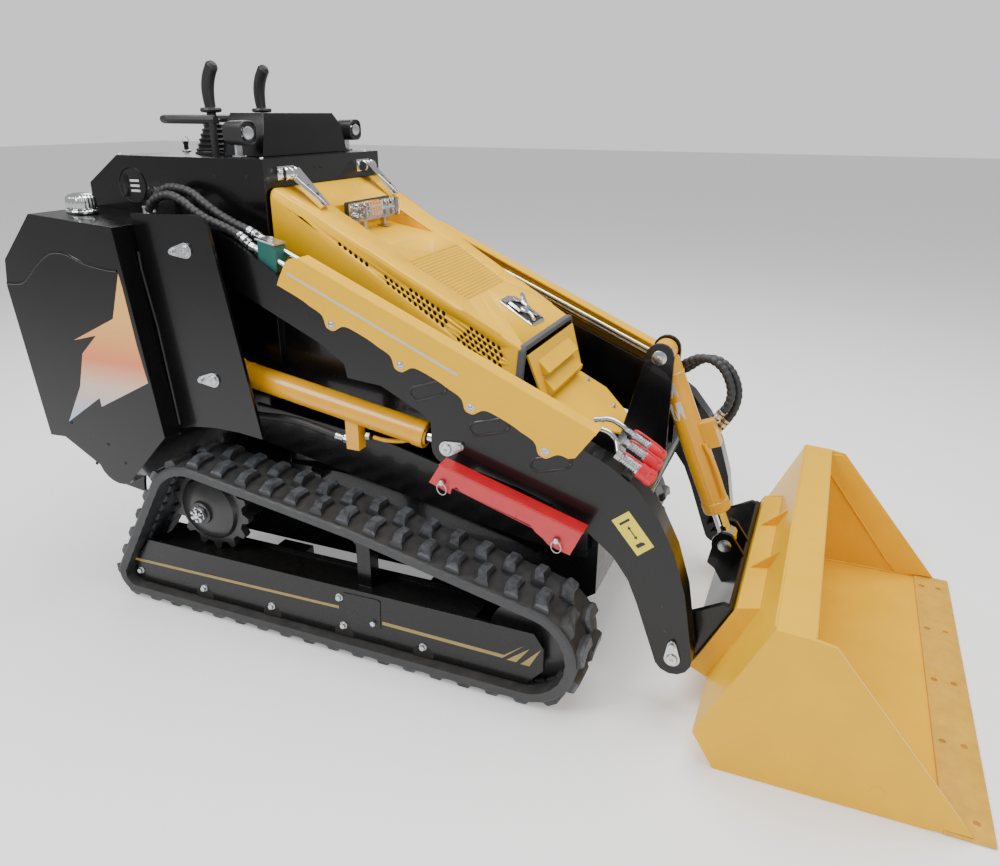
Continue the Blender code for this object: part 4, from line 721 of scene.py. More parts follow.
def hoodPiece():
    piece = Piece("engineHood", "hood", yellow, brown, shadeAndBlack, trimRubber)
    mesh, faces = piece.mesh, []

    def add(spots, found, place):
        corners = [mesh.verts.new(place(*spot)) for spot in spots]
        faces.extend(mesh.faces.new([corners[index] for index in face]) for face in found)

    for sign in (-1, 1):
        def onFacet(x, v):
            y, z = along(hoodLine(x, "fold"), hoodLine(x, "crease"), v)
            return (x, sign * y, z)

        holes, pitch = [], hoodSizes["pitch"]
        for group in holeGroups:
            middle = sum(x for x, _ in group) / 4
            fold, crease = hoodLine(middle, "fold"), hoodLine(middle, "crease")
            width = hypot(fold[0] - crease[0], fold[1] - crease[1])
            for row in range(-3, 16):
                for number in range(52):
                    x = -0.41 + pitch * (number + 0.5 * (row % 2))
                    v = (row + 0.4) * pitch * 0.866 / width
                    if perforated(group, x, v, width):
                        reach = hoodSizes["hole"]
                        holes.append([(x + reach * cos(k * pi / 5), v + reach * sin(k * pi / 5) / width)
                                      for k in range(10)])
        edge = [(x, 0.0) for x in stations] + [(x, 1.0) for x in reversed(stations)]
        extra = [(x + 0.027, v) for x in stations[:-1] for v in (0.5, 0.9)
                 if not any(inside(x + 0.027, v, group) for group in holeGroups)]
        spots, found = fill(edge, holes, extra)
        add(spots, found, onFacet)
        edge = [(x, 0.0) for x in stations] + [(x, 1.0) for x in reversed(stations)]
        add(*fill(edge, []), lambda x,
            v: (x, sign * along(hoodLine(x, "low"), hoodLine(x, "fold"), v)[0],
                                           along(hoodLine(x, "low"), hoodLine(x, "fold"), v)[1]))
    half = 0.128
    edge = [(x, -hoodLine(x, "crease")[0]) for x in stations]
    edge += [(x, hoodLine(x, "crease")[0]) for x in reversed(stations)]
    recess = [(-0.450, -half), (-0.288, -half), (-0.288, half), (-0.450, half)]
    grille = []
    corners = ((-0.224, -0.146), (-0.061, -0.128), (-0.065, 0.125), (-0.228, 0.155))
    for i in range(18):
        for j in range(28):
            cell = []
            for di, dj in ((0.17, 0.17), (0.83, 0.17), (0.83, 0.83), (0.17, 0.83)):
                u, v = (i + di) / 18, (j + dj) / 28
                cell.append(along(along(corners[0], corners[1], u), along(corners[3], corners[2], u),
                                  v))
            grille.append(cell)
    add(*fill(edge, [recess, *grille]), lambda x, y: (x, y, hoodLine(x, "crease")[1]))
    bmesh.ops.remove_doubles(mesh, verts=mesh.verts, dist=2e-5)

    def onLine(vert, name):
        y, z = hoodLine(vert.co.x, name)
        return abs(abs(vert.co.y) - y) < 1e-4 and abs(vert.co.z - z) < 1e-4

    bends = [edge for edge in mesh.edges if len(edge.link_faces) == 2
             and any(all(onLine(vert, name) for vert in edge.verts) for name in ("crease", "fold"))]
    bmesh.ops.recalc_face_normals(mesh, faces=mesh.faces)
    bmesh.ops.bevel(mesh, geom=bends, offset=hoodSizes["bend"], segments=4, profile=0.5,
                    affect="EDGES", material=-1)
    piece.take(mesh.faces, 0)
    bmesh.ops.recalc_face_normals(mesh, faces=mesh.faces)
    item = piece.done(sharp=28, replaces=["hood"])
    sheet = item.modifiers.new("sheet", "SOLIDIFY")
    sheet.thickness = hoodSizes["sheet"]
    sheet.offset = -1.0
    return item


# The recess for the lamp, the screens behind the holes, and the rubber round the front edge.
def hoodInside():
    piece = Piece("hoodTrim", "hood", yellow, brown, shadeAndBlack, trimRubber)
    top, floorRear = hoodLine(-0.450, "crease")[1], 1.050
    front = hoodLine(-0.288, "crease")[1]
    half, sheet = 0.1285, 0.003
    rear = -0.4505
    piece.prism([(rear, floorRear), (-0.286, front - 0.0012), (-0.286, front - 0.004),
                 (rear, floorRear - sheet)],
                -half, half)
    piece.prism([(rear - sheet, top - 0.001), (rear, top - 0.001), (rear, floorRear - sheet),
                 (rear - sheet, floorRear - sheet)],
                -half, half)
    for sign in (-1, 1):
        piece.prism([(rear, top - 0.001), (-0.288, front - 0.001), (-0.288, front - 0.004),
                     (rear, floorRear - sheet)],
                    sign * half, sign * (half + sheet))
        for group in holeGroups:
            rings = []
            for depth in (0.010, 0.014):
                ring = []
                for x, v in group:
                    y, z = along(hoodLine(x, "fold"), hoodLine(x, "crease"),
                                 v + (0.12 if v > 0.3 else -0.12))
                    ring.append((x, sign * (y - depth), z - depth * 0.4))
                rings.append(ring)
            piece.loft(rings, 1)
    low = hoodLine(-0.145, "crease")[1]
    slope = (hoodLine(-0.05, "crease")[1] - hoodLine(-0.24, "crease")[1]) / 0.19
    piece.prism([(-0.236, low - 0.091 * slope - 0.012), (-0.052, low + 0.093 * slope - 0.012),
                 (-0.052, low + 0.093 * slope - 0.016), (-0.236, low - 0.091 * slope - 0.016)], -0.165,
                 0.165, 1)
    x = hoodSizes["front"] - 0.006
    path = [(x, 0.2145, 0.664), (x, 0.2145, 0.688), (x, 0.1865, 0.794), (x, 0.181, 0.803)]
    rings = []
    whole = path + [(x, -y, z) for _, y, z in reversed(path)]
    for number, (px, y, z) in enumerate(whole):
        before, after = whole[max(number - 1, 0)], whole[min(number + 1, len(whole) - 1)]
        d = Vector((0, after[1] - before[1], after[2] - before[2])).normalized()
        out = Vector((0, d.z, -d.y))
        rings.append([Vector((px + a, y, z)) + out * b for a, b in
                      ((-0.012, 0.003), (-0.010, 0.0055), (0.006, 0.0055), (0.0075, 0.003),
                       (0.0075, -0.006), (-0.012, -0.006))])
    piece.loft(rings, 3)
    return piece.done(bevel=0.0008)


# The yellow panel at the front of the engine bay, with two slats open at their far ends.
def louvrePanel():
    piece = Piece("louvrePanel", "machine", yellow, shadeAndBlack)
    base, top = Vector((0.161, 0.662)), Vector((0.121, 0.785))
    up = (top - base).normalized()
    out = Vector((up.y, -up.x))
    span = (top - base).length

    def spot(s, y, lift):
        p = base + up * s + out * lift
        return (p.x, y, p.y)

    rings = [[spot(0, s * half, d) for s in (-1, 1)] + [spot(span, s * high2, d) for s,
                                                        high2 in ((1, 0.181), (-1, 0.181))]
             for half, d in ((0.160, 0.0), (0.160, -0.006))]
    piece.loft(rings, 0, smooth=False)
    for start in (0.014, 0.062):
        ring = lambda y: [spot(start, y, -0.001), spot(start, y, 0.018), spot(start + 0.004, y, 0.020),
                          spot(start + 0.042, y, -0.001)]
        piece.loft([ring(-0.128), ring(0.118)], 0)
        # The two dark pieces under each slat, a strip along its front and a wedge at its open end, are
        # painted shade.
        gap = lambda y: [spot(start + 0.004, y, 0.0), spot(start + 0.004, y, 0.0155),
                         spot(start + 0.036, y, 0.0)]
        piece.loft([gap(0.117), gap(0.1186)], 1)
        gap = lambda y: [spot(start - 0.001, y, 0.002), spot(start - 0.001, y, 0.016),
                         spot(start + 0.003, y, 0.016)]
        piece.loft([gap(-0.122), gap(0.112)], 1)
    return piece.done(bevel=0.0012, replaces=["louvre_panel"])


hoodPiece()
hoodInside()
louvrePanel()


# The chromed paddle latch on the hood, a shaped plate with its bolt work.
def latchPiece():
    piece = Piece("hoodLatch", "hood", chrome, shadeAndBlack)
    slope = Vector((0.0965, 0, -0.0533)).normalized()
    normal = Vector((0.483, 0, 0.875)).normalized()
    at = Vector((0.030, 0.012, hoodLine(0.030, "crease")[1]))

    def spot(u, v, lift=0.0):
        return at + slope * u + Vector((0, v, 0)) + normal * lift

    outline = [(-0.056, -0.040), (0.048, -0.050), (0.056, -0.042), (0.060, 0.030), (0.052, 0.044),
               (0.010, 0.048),
               (-0.004, 0.058), (-0.030, 0.060), (-0.050, 0.052), (-0.062, 0.030), (-0.062, -0.030)]
    piece.loft([[spot(u * k, v * k, lift) for u, v in outline] for lift, k in
                ((0.0006, 1.0), (0.003, 1.0), (0.0042, 0.96))], 0)
    inner = [(-0.046, -0.030), (0.042, -0.040), (0.050, -0.030), (0.050, 0.026), (0.040, 0.034),
             (-0.040, 0.030)]
    piece.loft([[spot(u, v, 0.0040) for u, v in inner], [spot(u, v, 0.0046) for u, v in inner]], 1)
    piece.tube([spot(u, v, 0.0095) for u,
                v in ((-0.040, 0.012), (-0.022, 0.030), (0.000, 0.022), (0.010, 0.000),
                                               (0.030, -0.012), (0.044, -0.026))], 0.0058, 0, 10)
    piece.tube([spot(-0.036, -0.022, 0.008), spot(0.000, -0.030, 0.010), spot(0.036, 0.016, 0.008)],
               0.0045, 0, 10)
    piece.tube([spot(-0.012, 0.046, 0.006), spot(-0.030, 0.052, 0.018), spot(-0.040, 0.050, 0.020)],
               0.006, 0, 10)
    for u, v in ((-0.050, -0.030), (0.048, -0.040), (0.050, 0.032), (-0.046, 0.040), (0.0, 0.040)):
        piece.dome(spot(u, v, 0.003), normal, 0.0045, 0.003, 1, 12)
    piece.lathe(spot(0.006, -0.006, 0.004), normal, ((0, 0.015), (0.008, 0.014), (0.010, 0.011)), 0, 24)
    piece.done(bevel=0.0006, replaces=["hood_latch"])


latchPiece()


hingeSizes = {"axis": (-0.532, 1.195), "at": 0.187, "knuckle": 0.0155, "inner": 0.010, "outer": 0.027,
              "wall": -0.5485}


# A cast, polished hinge: the strap's middle knuckle turns between two on the tower.
def hingeTrim(side, sign):
    y, (ax, az), size = sign * hingeSizes["at"], hingeSizes["axis"], hingeSizes["knuckle"]
    inner, outer = hingeSizes["inner"], hingeSizes["outer"]
    moving = Piece(f"{side}HingeStrap", "hood", chrome, shadeAndBlack)
    start, tip = Vector((ax, y, az)), Vector((-0.436, y - sign * 0.004, 1.122))
    down = (tip - start).normalized()
    out, wide = Vector((-down.z, 0, down.x)), Vector((0, 1, 0))
    moving.lathe((ax, y - inner + 0.0006, az), (0, 1, 0),
                 ((0, size * 0.94), (0.001, size), (0.0178, size), (0.0188, size * 0.94)), 0, 24)
    rings = []
    for share, half, thick in ((0.06, 0.0085, 0.012), (0.16, 0.0085, 0.012), (0.20, 0.019, 0.010),
                               (0.32, 0.0185, 0.009),
                               (0.58, 0.0135, 0.008), (0.88, 0.0085, 0.006), (1.0, 0.0055, 0.004)):
        middle = start.lerp(tip, share)
        rings.append([middle - wide * half, middle + wide * half,
                      middle + wide * half * 0.8 + out * thick,
                      middle - wide * half * 0.8 + out * thick])
    moving.loft(rings, 0)
    for share in (0.45, 0.72):
        moving.dome(start.lerp(tip, share) + out * 0.0075, out, 0.004, 0.002, 1, 12)
    moving.done(bevel=0.0012)
    fixed = Piece(f"{side}HingeHead", "machine", chrome, shadeAndBlack)
    for low, high in ((-outer, -inner), (inner, outer)):
        fixed.lathe((ax, y + low, az), (0, 1, 0),
                    ((0, size * 0.7), (0.003, size), (high - low - 0.003, size),
                     (high - low, size * 0.7)), 0, 24)
        fixed.box((hingeSizes["wall"], y + low + 0.001, az - 0.013),
                  (ax, y + high - 0.001, az + 0.012), 0, 0.003)
        fixed.dome((hingeSizes["wall"] + 0.004, y + (low + high) / 2 * 1.6, az + 0.006), (1, 0, 0),
                   0.005, 0.003, 0, 12)
    fixed.box((hingeSizes["wall"], y - outer - 0.008, az - 0.015),
              (hingeSizes["wall"] + 0.0012, y + outer + 0.008, az + 0.018), 0, 0.0004)
    fixed.done()


for side, sign in sides:
    hingeTrim(side, sign)


# The clear lamp bar with amber diodes in the hood's recess.
def lampBar():
    piece = Piece("lampBar", "hood", clear, reflector, amber, plastic, zinc)
    x0, x1, half, z0, z1 = -0.430, -0.386, 0.110, 1.070, 1.120
    piece.box((x0 + 0.012, -half, z0 + 0.001), (x1, half, z1 - 0.001), 0, 0.004)
    piece.box((x0, -half - 0.001, z0), (x0 + 0.011, half + 0.001, z1 + 0.001), 3, 0.003)
    piece.box((x0 + 0.013, -half + 0.004, z0 + 0.004), (x0 + 0.018, half - 0.004, z1 - 0.004), 1)
    for y in (-0.082, -0.050, 0.050, 0.082):
        piece.box((x0 + 0.018, y - 0.013, z0 + 0.006), (x1 - 0.012, y + 0.013, z0 + 0.009), 1)
        for z in (1.086, 1.104):
            piece.lathe((x0 + 0.018, y, z), (1, 0, 0),
                        ((0, 0.003), (0.003, 0.0045), (0.012, 0.0075), (0.0125, 0.0068),
                         (0.004, 0.003)), 1, 14)
    for row in range(3):
        for number in range(4):
            y = -0.021 + number * 0.014
            piece.box((x0 + 0.018, y - 0.0045, 1.080 + row * 0.012),
                      (x0 + 0.024, y + 0.0045, 1.088 + row * 0.012), 2, 0.0015)
    for y in (-0.0535, 0.0535):
        floorAt = 1.0445
        piece.box((-0.416, y - 0.0085, floorAt), (-0.400, y + 0.0085, 1.0715), 4, 0.002)
        piece.box((-0.424, y - 0.012, floorAt), (-0.392, y + 0.012, floorAt + 0.003), 4, 0.001)
    piece.done(replaces=["strobe_light"])


lampBar()
print("hood made")


guardSizes = {"rear": (-0.392, 1.020), "front": (0.360, 0.690), "depth": 0.088, "lobe": 0.031,
              "inner": 0.383,
              "sheet": 0.004, "bolts": ((-0.307, 0.868), (-0.123, 0.789), (0.059, 0.709),
                                        (0.242, 0.630))}


def guardPiece(side, sign):
    rear, front = (Vector(guardSizes[name]) for name in ("rear", "front"))
    run = front - rear
    d = run.normalized()
    down = Vector((d.y, -d.x))
    marks = [(Vector(bolt) - rear).dot(d) for bolt in guardSizes["bolts"]]
    low = []
    for step in range(150):
        s = -0.030 + (run.length - 0.004) * step / 149
        depth = guardSizes["depth"]
        for mark in marks:
            off = (s - mark) / 0.021
            bend = (s - mark + 0.052) / 0.030
            depth += guardSizes["lobe"] / (1 + off**4) + 0.004 / (1 + bend**4)
        low.append(rear + d * s + down * depth)
    outline = [rear, rear + down * 0.012 - d * 0.018, rear + down * 0.026 - d * 0.026,
               rear + down * 0.074 - d * 0.030]
    outline += low + [front + down * 0.088 - d * 0.028, front + down * 0.078 - d * 0.016, front]
    inner, sheet = guardSizes["inner"], guardSizes["sheet"]
    piece = Piece(f"{side}ArmGuard", "lift_arms", yellow, greyStripe, zinc)
    face = inner + sheet
    outlineXZ = [(p.x, p.y) for p in outline]
    piece.plate(outlineXZ, [], lambda x, z, depth: (x, sign * (face - depth), z), sheet)
    shelf = [rear, front, front + down * sheet, rear + down * sheet]
    piece.prism([(p.x, p.y) for p in shelf], sign * 0.338, sign * (face - 0.0015))
    piece.tube([(p.x, sign * (face - 0.0035), p.y)
                for p in (rear + down * 0.0036, front + down * 0.0036)], 0.0036, 0, 16)
    start, end = rear + down * 0.044 - d * 0.014, rear + down * 0.046 + d * 0.478
    stripe = [start, end, end + down * 0.006, start + down * 0.006]
    piece.prism([(p.x, p.y) for p in stripe], sign * (face - 0.0005), sign * (face + 0.0006), 1)
    for x, z in guardSizes["bolts"]:
        piece.lathe((x, sign * face, z), (0, sign, 0),
                    ((-0.001, 0.0100), (0.0012, 0.0100), (0.0016, 0.0090)), 2, 20)
        piece.dome((x, sign * (face + 0.001), z), (0, sign, 0), 0.0075, 0.0045, 2)
    piece.done(bevel=0.0010, replaces=[f"{side}_arm_guard"])


# The outline of a long rounded slot from one end's centre to the other's.
def slot(x0, z0, x1, z1, radius):
    a, b = Vector((x0, z0)), Vector((x1, z1))
    d = (b - a).normalized()
    n = Vector((-d.y, d.x))
    ring = []
    for centre, start in ((a, 0), (b, pi)):
        ring += [centre + n * radius * cos(start + t) - d * radius * sin(start + t)
                 for t in (pi * k / 9 for k in range(10))]
    return [(p.x, p.y) for p in ring]


# A teardrop plate that holds a pin, with the pin's end and its bolt.
def retainer(piece, pin, bolt, y, sign, big=0.019, small=0.010):
    a, b = Vector(pin), Vector(bolt)
    d = (b - a).normalized()
    turn = atan2(d.y, d.x)
    ring = [(a.x + big * cos(turn + t), a.y + big * sin(turn + t))
            for t in (pi * (0.42 + 1.16 * k / 14) for k in range(15))]
    ring += [(b.x + small * cos(turn + t), b.y + small * sin(turn + t))
             for t in (pi * (-0.42 + 0.84 * k / 8) for k in range(9))]
    piece.prism(ring, sign * (y - 0.0005), sign * (y + 0.005), 0)
    piece.lathe((pin[0], sign * (y + 0.0045), pin[1]), (0, sign, 0),
                ((0, 0.0135), (0.004, 0.0135), (0.0052, 0.0122)), 0, 24)
    piece.dome((pin[0], sign * (y + 0.009), pin[1]), (0, sign, 0), 0.005, 0.003, 0, 12)
    piece.bolt((bolt[0], sign * (y + 0.005), bolt[1]), (0, sign, 0), 0.0085, 0)


# Weld rings, slots, pin retainers and the plain label on one lift arm.
def armTrim(side, sign):
    y = 0.380
    piece = Piece(f"{side}ArmTrim", "lift_arms", zinc, weld, yellowLabel, shadeAndBlack, plastic)
    for x0, z0, x1, z1 in ((-0.086, 0.722, -0.024, 0.744), (0.070, 0.655, 0.134, 0.674),
                           (0.224, 0.590, 0.286, 0.608)):
        ring = slot(x0, z0, x1, z1, 0.017)
        path = [(x, sign * y, z) for x, z in ring]
        fine = [along(a, b, k / 4) for a, b in zip(path, path[1:] + path[:1]) for k in range(4)]
        piece.tube(fine + fine[:1], [0.0024 + 0.0007 * (n % 3) for n in range(len(fine) + 1)], 1, 8)
    # A flat dark slot shape: painted shade in place of an opening in the arm.
    for x0, z0, x1, z1 in ((-0.372, 0.884, -0.346, 0.882),):
        piece.prism(slot(x0, z0, x1, z1, 0.008), sign * (y - 0.0005), sign * (y + 0.0006), 3)
    retainer(piece, (-0.008, 0.593), (0.028, 0.604), y, sign)
    retainer(piece, (0.569, 0.154), (0.566, 0.193), y, sign)
    label = [Vector((0.404, 0.484)), Vector((0.442, 0.515)), Vector((0.505, 0.438)),
             Vector((0.469, 0.406))]
    piece.prism([(p.x, p.y) for p in label], sign * (y - 0.0005), sign * (y + 0.0006), 2)
    middle = sum(label, Vector((0, 0))) / 4
    long, short = (label[2] - label[1]).normalized(), (label[1] - label[0]).normalized()

    def mark(points):
        piece.prism([(p.x, p.y) for p in (middle + long * u + short * v for u, v in points)],
                    sign * (y + 0.0003), sign * (y + 0.0010), 4)

    mark(((-0.014, -0.0015), (0.010, -0.0015), (0.010, 0.0015), (-0.014, 0.0015)))
    mark(((0.009, -0.005), (0.017, 0.0), (0.009, 0.005)))
    mark(((-0.013, 0.005), (-0.021, 0.0), (-0.013, -0.005)))
    mark(((-0.036, -0.014), (-0.030, -0.014), (-0.030, 0.014), (-0.036, 0.014)))
    mark(((0.026, -0.012), (0.036, -0.012), (0.036, 0.010), (0.030, 0.010), (0.026, 0.004)))
    for x, z in ((0.548, 0.225), (0.535, 0.290)):
        piece.dome((x, sign * y, z), (0, sign, 0), 0.004, 0.002, 1, 12)
    piece.done(bevel=0.0005)
    outer = 0.440
    fixed = Piece(f"{side}PinTrim", "machine", zinc, weld)
    retainer(fixed, (-0.674, 1.027), (-0.712, 1.023), outer, sign)
    retainer(fixed, (-0.640, 0.702), (-0.676, 0.699), outer, sign)
    fixed.tube([(x, sign * (outer + 0.001), z) for x,
                z in ((-0.827, 1.015), (-0.825, 0.970), (-0.801, 0.826), (-0.776, 0.560))],
               0.003, 1, 8)
    fixed.done(bevel=0.0005)


# The two bright pipes in the arm, in their clamp.
def pipePair(side, sign):
    piece = Piece(f"{side}ArmPipes", "lift_arms", steel, teal, zinc)
    for y, rear, front in ((0.330, (-0.534, 1.052), (0.330, 0.683)),
                           (0.358, (-0.544, 1.036), (0.330, 0.660))):
        piece.tube([(rear[0], sign * y, rear[1]), (front[0], sign * y, front[1])], 0.0065, 0, 16)
        d = Vector((front[0] - rear[0], 0, front[1] - rear[1])).normalized()
        piece.lathe((rear[0] - d.x * 0.001, sign * y, rear[1] - d.z * 0.001), d,
                    ((0, 0.0105), (0.014, 0.0105), (0.016, 0.009)), 2, 6, False)
        piece.lathe((rear[0] + d.x * 0.015, sign * y, rear[1] + d.z * 0.015), d,
                    ((0, 0.0088), (0.014, 0.0088), (0.016, 0.0070)), 2, 16)
    ring = [(-0.518, 0.984), (-0.500, 0.957), (-0.468, 0.957), (-0.463, 1.024), (-0.470, 1.040),
            (-0.516, 1.052)]
    for low, high in ((0.322, 0.3435), (0.3445, 0.368)):
        piece.prism(ring, sign * low, sign * high, 1)
    piece.prism([(-0.522, 1.0525), (-0.466, 1.0405), (-0.466, 1.0445), (-0.522, 1.0565)], sign * 0.320,
                sign * 0.370, 2)
    piece.bolt((-0.494, sign * 0.344, 1.0505), (0.2, 0, 1), 0.008, 2)
    piece.done(bevel=0.0008, replaces=[f"{side}_arm_pipes"])


for side, sign in sides:
    guardPiece(side, sign)
    armTrim(side, sign)
    pipePair(side, sign)


# The quick couplers for an attachment's hoses, under red caps with their straps.
def couplerPiece():
    piece = Piece("couplers", "lift_arms", zinc, redCap, plastic, steel)
    for x, y, z, size in ((0.446, -0.362, 0.616, 0.017), (0.452, -0.330, 0.634, 0.015),
                          (0.454, -0.302, 0.648, 0.013)):
        axis = Vector((0.045, 0, -0.026)).normalized()
        start = Vector((x, y, z)) - axis * 0.052
        piece.lathe(start, axis, ((0, size * 0.7), (0.014, size * 0.7), (0.0145, size * 0.55)), 0, 6,
                    False)
        ribs = [(0.013, size * 0.62)]
        for rib in range(7):
            at = 0.016 + rib * 0.0055
            ribs += [(at, size * 0.80), (at + 0.003, size * 0.80), (at + 0.0038, size * 0.70),
                     (at + 0.005, size * 0.70)]
        ribs += [(0.055, size * 0.92), (0.066, size * 0.92)]
        piece.lathe(start, axis, ribs, 0, 24)
        cap = [(0.060, size * 1.02), (0.063, size * 1.10), (0.082, size * 1.08), (0.084, size * 1.16),
               (0.094, size * 1.16),
               (0.098, size * 1.08), (0.102, size * 0.70), (0.104, 0.001)]
        piece.lathe(start, axis, cap, 1, 28)
        a = start + axis * 0.088
        loop = [a, a + Vector((0.010, -0.012, 0.016)),
                start + axis * 0.040 + Vector((0.004, -0.016, 0.024)),
                start + axis * 0.022 + Vector((0, -0.004, 0.016)), start + axis * 0.020]
        piece.tube(smoothPath(loop, 6), 0.0026, 1, 8)
    piece.tube(smoothPath([(0.340, -0.330, 0.682), (0.372, -0.330, 0.676), (0.392, -0.335, 0.660),
                           (0.402, -0.352, 0.641)], 6), 0.0065, 3)
    piece.tube(smoothPath([(0.330, -0.302, 0.690), (0.366, -0.296, 0.694), (0.396, -0.300, 0.684),
                           (0.410, -0.302, 0.673)], 6), 0.0060, 3)
    piece.box((0.418, -0.372, 0.585), (0.440, -0.292, 0.600), 2, 0.002)
    piece.done(bevel=0.0003, replaces=["coupler_bank"])


couplerPiece()


# The red channel that locks the lift cylinder, hung on two ringed pins.
def safetyBar():
    piece = Piece("safetyBar", "lift_arms", red, zinc, shadeAndBlack)
    face, sheet = 0.445, 0.003
    outline = [(0.004, 0.578), (-0.026, 0.528), (0.018, 0.512), (0.030, 0.507), (0.034, 0.522),
               (0.046, 0.528),
               (0.058, 0.519), (0.232, 0.467), (0.244, 0.452), (0.262, 0.440), (0.276, 0.426),
               (0.300, 0.418), (0.328, 0.410),
               (0.356, 0.472)]
    holes = [circle(0.011, 0.536, 0.008, 16), circle(0.297, 0.444, 0.008, 16)]
    piece.plate(outline, holes, lambda x, z, depth: (x, -(face - depth), z), sheet)
    top = [(0.002, 0.580), (0.357, 0.473), (0.356, 0.470), (0.001, 0.577)]
    piece.prism(top, -0.402, -face)
    piece.prism([(-0.026, 0.530), (0.330, 0.4165), (0.329, 0.4135), (-0.027, 0.527)], -0.402, -0.420)
    for x, z in ((0.011, 0.536), (0.297, 0.444)):
        piece.lathe((x, -0.386, z), (0, -1, 0), ((0, 0.007), (0.070, 0.007), (0.072, 0.005)), 1, 16)
        hang = [(x + 0.012 * sin(t), -0.452 - 0.003 * cos(t), z - 0.016 + 0.016 * cos(t))
                for t in (2 * pi * k / 20 for k in range(21))]
        piece.tube(hang, 0.0014, 1, 8)
    piece.done(bevel=0.0007, replaces=["safety_bar"])


safetyBar()
print("arms made")


# The side decal, the pressed step line, the holes and the filler cap of one tank.
def tankTrim(side, sign):
    y = 0.500
    piece = Piece(f"{side}TankTrim", "machine", flash, black, shadeAndBlack, weld, chrome)
    decal = [(-0.842, 0.969), (-0.886, 0.851), (-1.039, 0.779), (-0.956, 0.800), (-1.017, 0.745),
             (-1.050, 0.648),
             (-1.120, 0.537), (-0.985, 0.625), (-0.983, 0.600), (-0.803, 0.690), (-0.820, 0.790),
             (-0.836, 0.936)]
    piece.prism(decal, sign * (y - 0.0006), sign * (y + 0.0006), 0)
    step = [(-1.246, 0.913), (-1.183, 0.921), (-1.119, 0.971), (-1.066, 1.003), (-1.013, 1.006),
            (-0.951, 0.986),
            (-0.884, 0.976), (-0.846, 0.975)]
    piece.tube(smoothPath([(x, sign * (y - 0.0015), z) for x, z in step], 6), 0.0042, 1, 10)
    # The holes are flat dark discs: painted shade in place of openings.
    for x, z in ((-0.985, 0.490), (-1.044, 0.423), (-0.933, 0.443), (-1.111, 0.535)):
        piece.lathe((x, sign * (y - 0.001), z), (0, sign, 0), ((0, 0.005), (0.0016, 0.005)), 2, 14)
    piece.done(bevel=0.0004)
    cap = Piece(f"{side}FillerCap", "machine", chrome, shadeAndBlack)
    low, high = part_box(f"{side}_filler_cap")
    middle = ((low.x + high.x) / 2, (low.y + high.y) / 2, low.z)
    height, radius = high.z - low.z, (high.x - low.x) / 2
    cap.lathe(middle, (0, 0, 1),
              ((0, radius * 0.98), (0.006, radius), (0.008, radius * 0.92), (0.012, radius * 0.80)), 0,
              40)
    rings = []
    for up, size in ((0.010, 0.80), (0.013, 0.93), (height * 0.55, 0.95), (height * 0.80, 0.90),
                     (height * 0.93, 0.72), (height, 0.40)):
        rings.append([(middle[0] + radius * size * (1 - 0.05 * (k % 2)) * cos(2 * pi * k / 48),
                       middle[1] + radius * size * (1 - 0.05 * (k % 2)) * sin(2 * pi * k / 48),
                       low.z + up) for k in range(48)])
    cap.loft(rings, 0)
    for number in range(5):
        turn = 2 * pi * number / 5
        cap.dome((middle[0] + radius * 0.88 * cos(turn), middle[1] + radius * 0.88 * sin(turn),
                  low.z + 0.008), (0, 0, 1), 0.004, 0.003, 0, 10)
    cap.done(bevel=0.0008, replaces=[f"{side}_filler_cap"])


# The round window with its light bars, and the small holes in the tower's side.
def towerTrim(side, sign):
    y = 0.278
    piece = Piece(f"{side}TowerTrim", "machine", black, shadeAndBlack, whiteLabel, zinc)
    centre = (-0.979, sign * y, 1.157)
    piece.lathe(centre, (0, sign, 0),
                ((-0.001, 0.0475), (0.0015, 0.0475), (0.0025, 0.0450), (0.0008, 0.0435)), 0, 44)
    piece.lathe(centre, (0, sign, 0), ((-0.0006, 0.0440), (0.0009, 0.0440)), 1, 44)
    for number in range(3):
        z = 1.140 + 0.013 * number
        piece.box((-0.986, sign * (y + 0.0002) - 0.0012, z),
                  (-0.955, sign * (y + 0.0002) + 0.0012, z + 0.006), 2, 0.0005)
    piece.box((-1.012, sign * y - 0.0016, 1.128), (-0.992, sign * y + 0.0016, 1.186), 0, 0.001)
    # The small holes are flat dark discs: painted shade in place of openings.
    for x, z in ((-0.875, 1.173), (-0.825, 1.173), (-0.914, 1.153), (-1.057, 1.154), (-0.700, 1.190),
                 (-0.600, 1.190)):
        piece.lathe((x, sign * (y - 0.0008), z), (0, sign, 0), ((0, 0.0045), (0.0014, 0.0045)), 1, 14)
    piece.done()


for side, sign in sides:
    tankTrim(side, sign)
    towerTrim(side, sign)


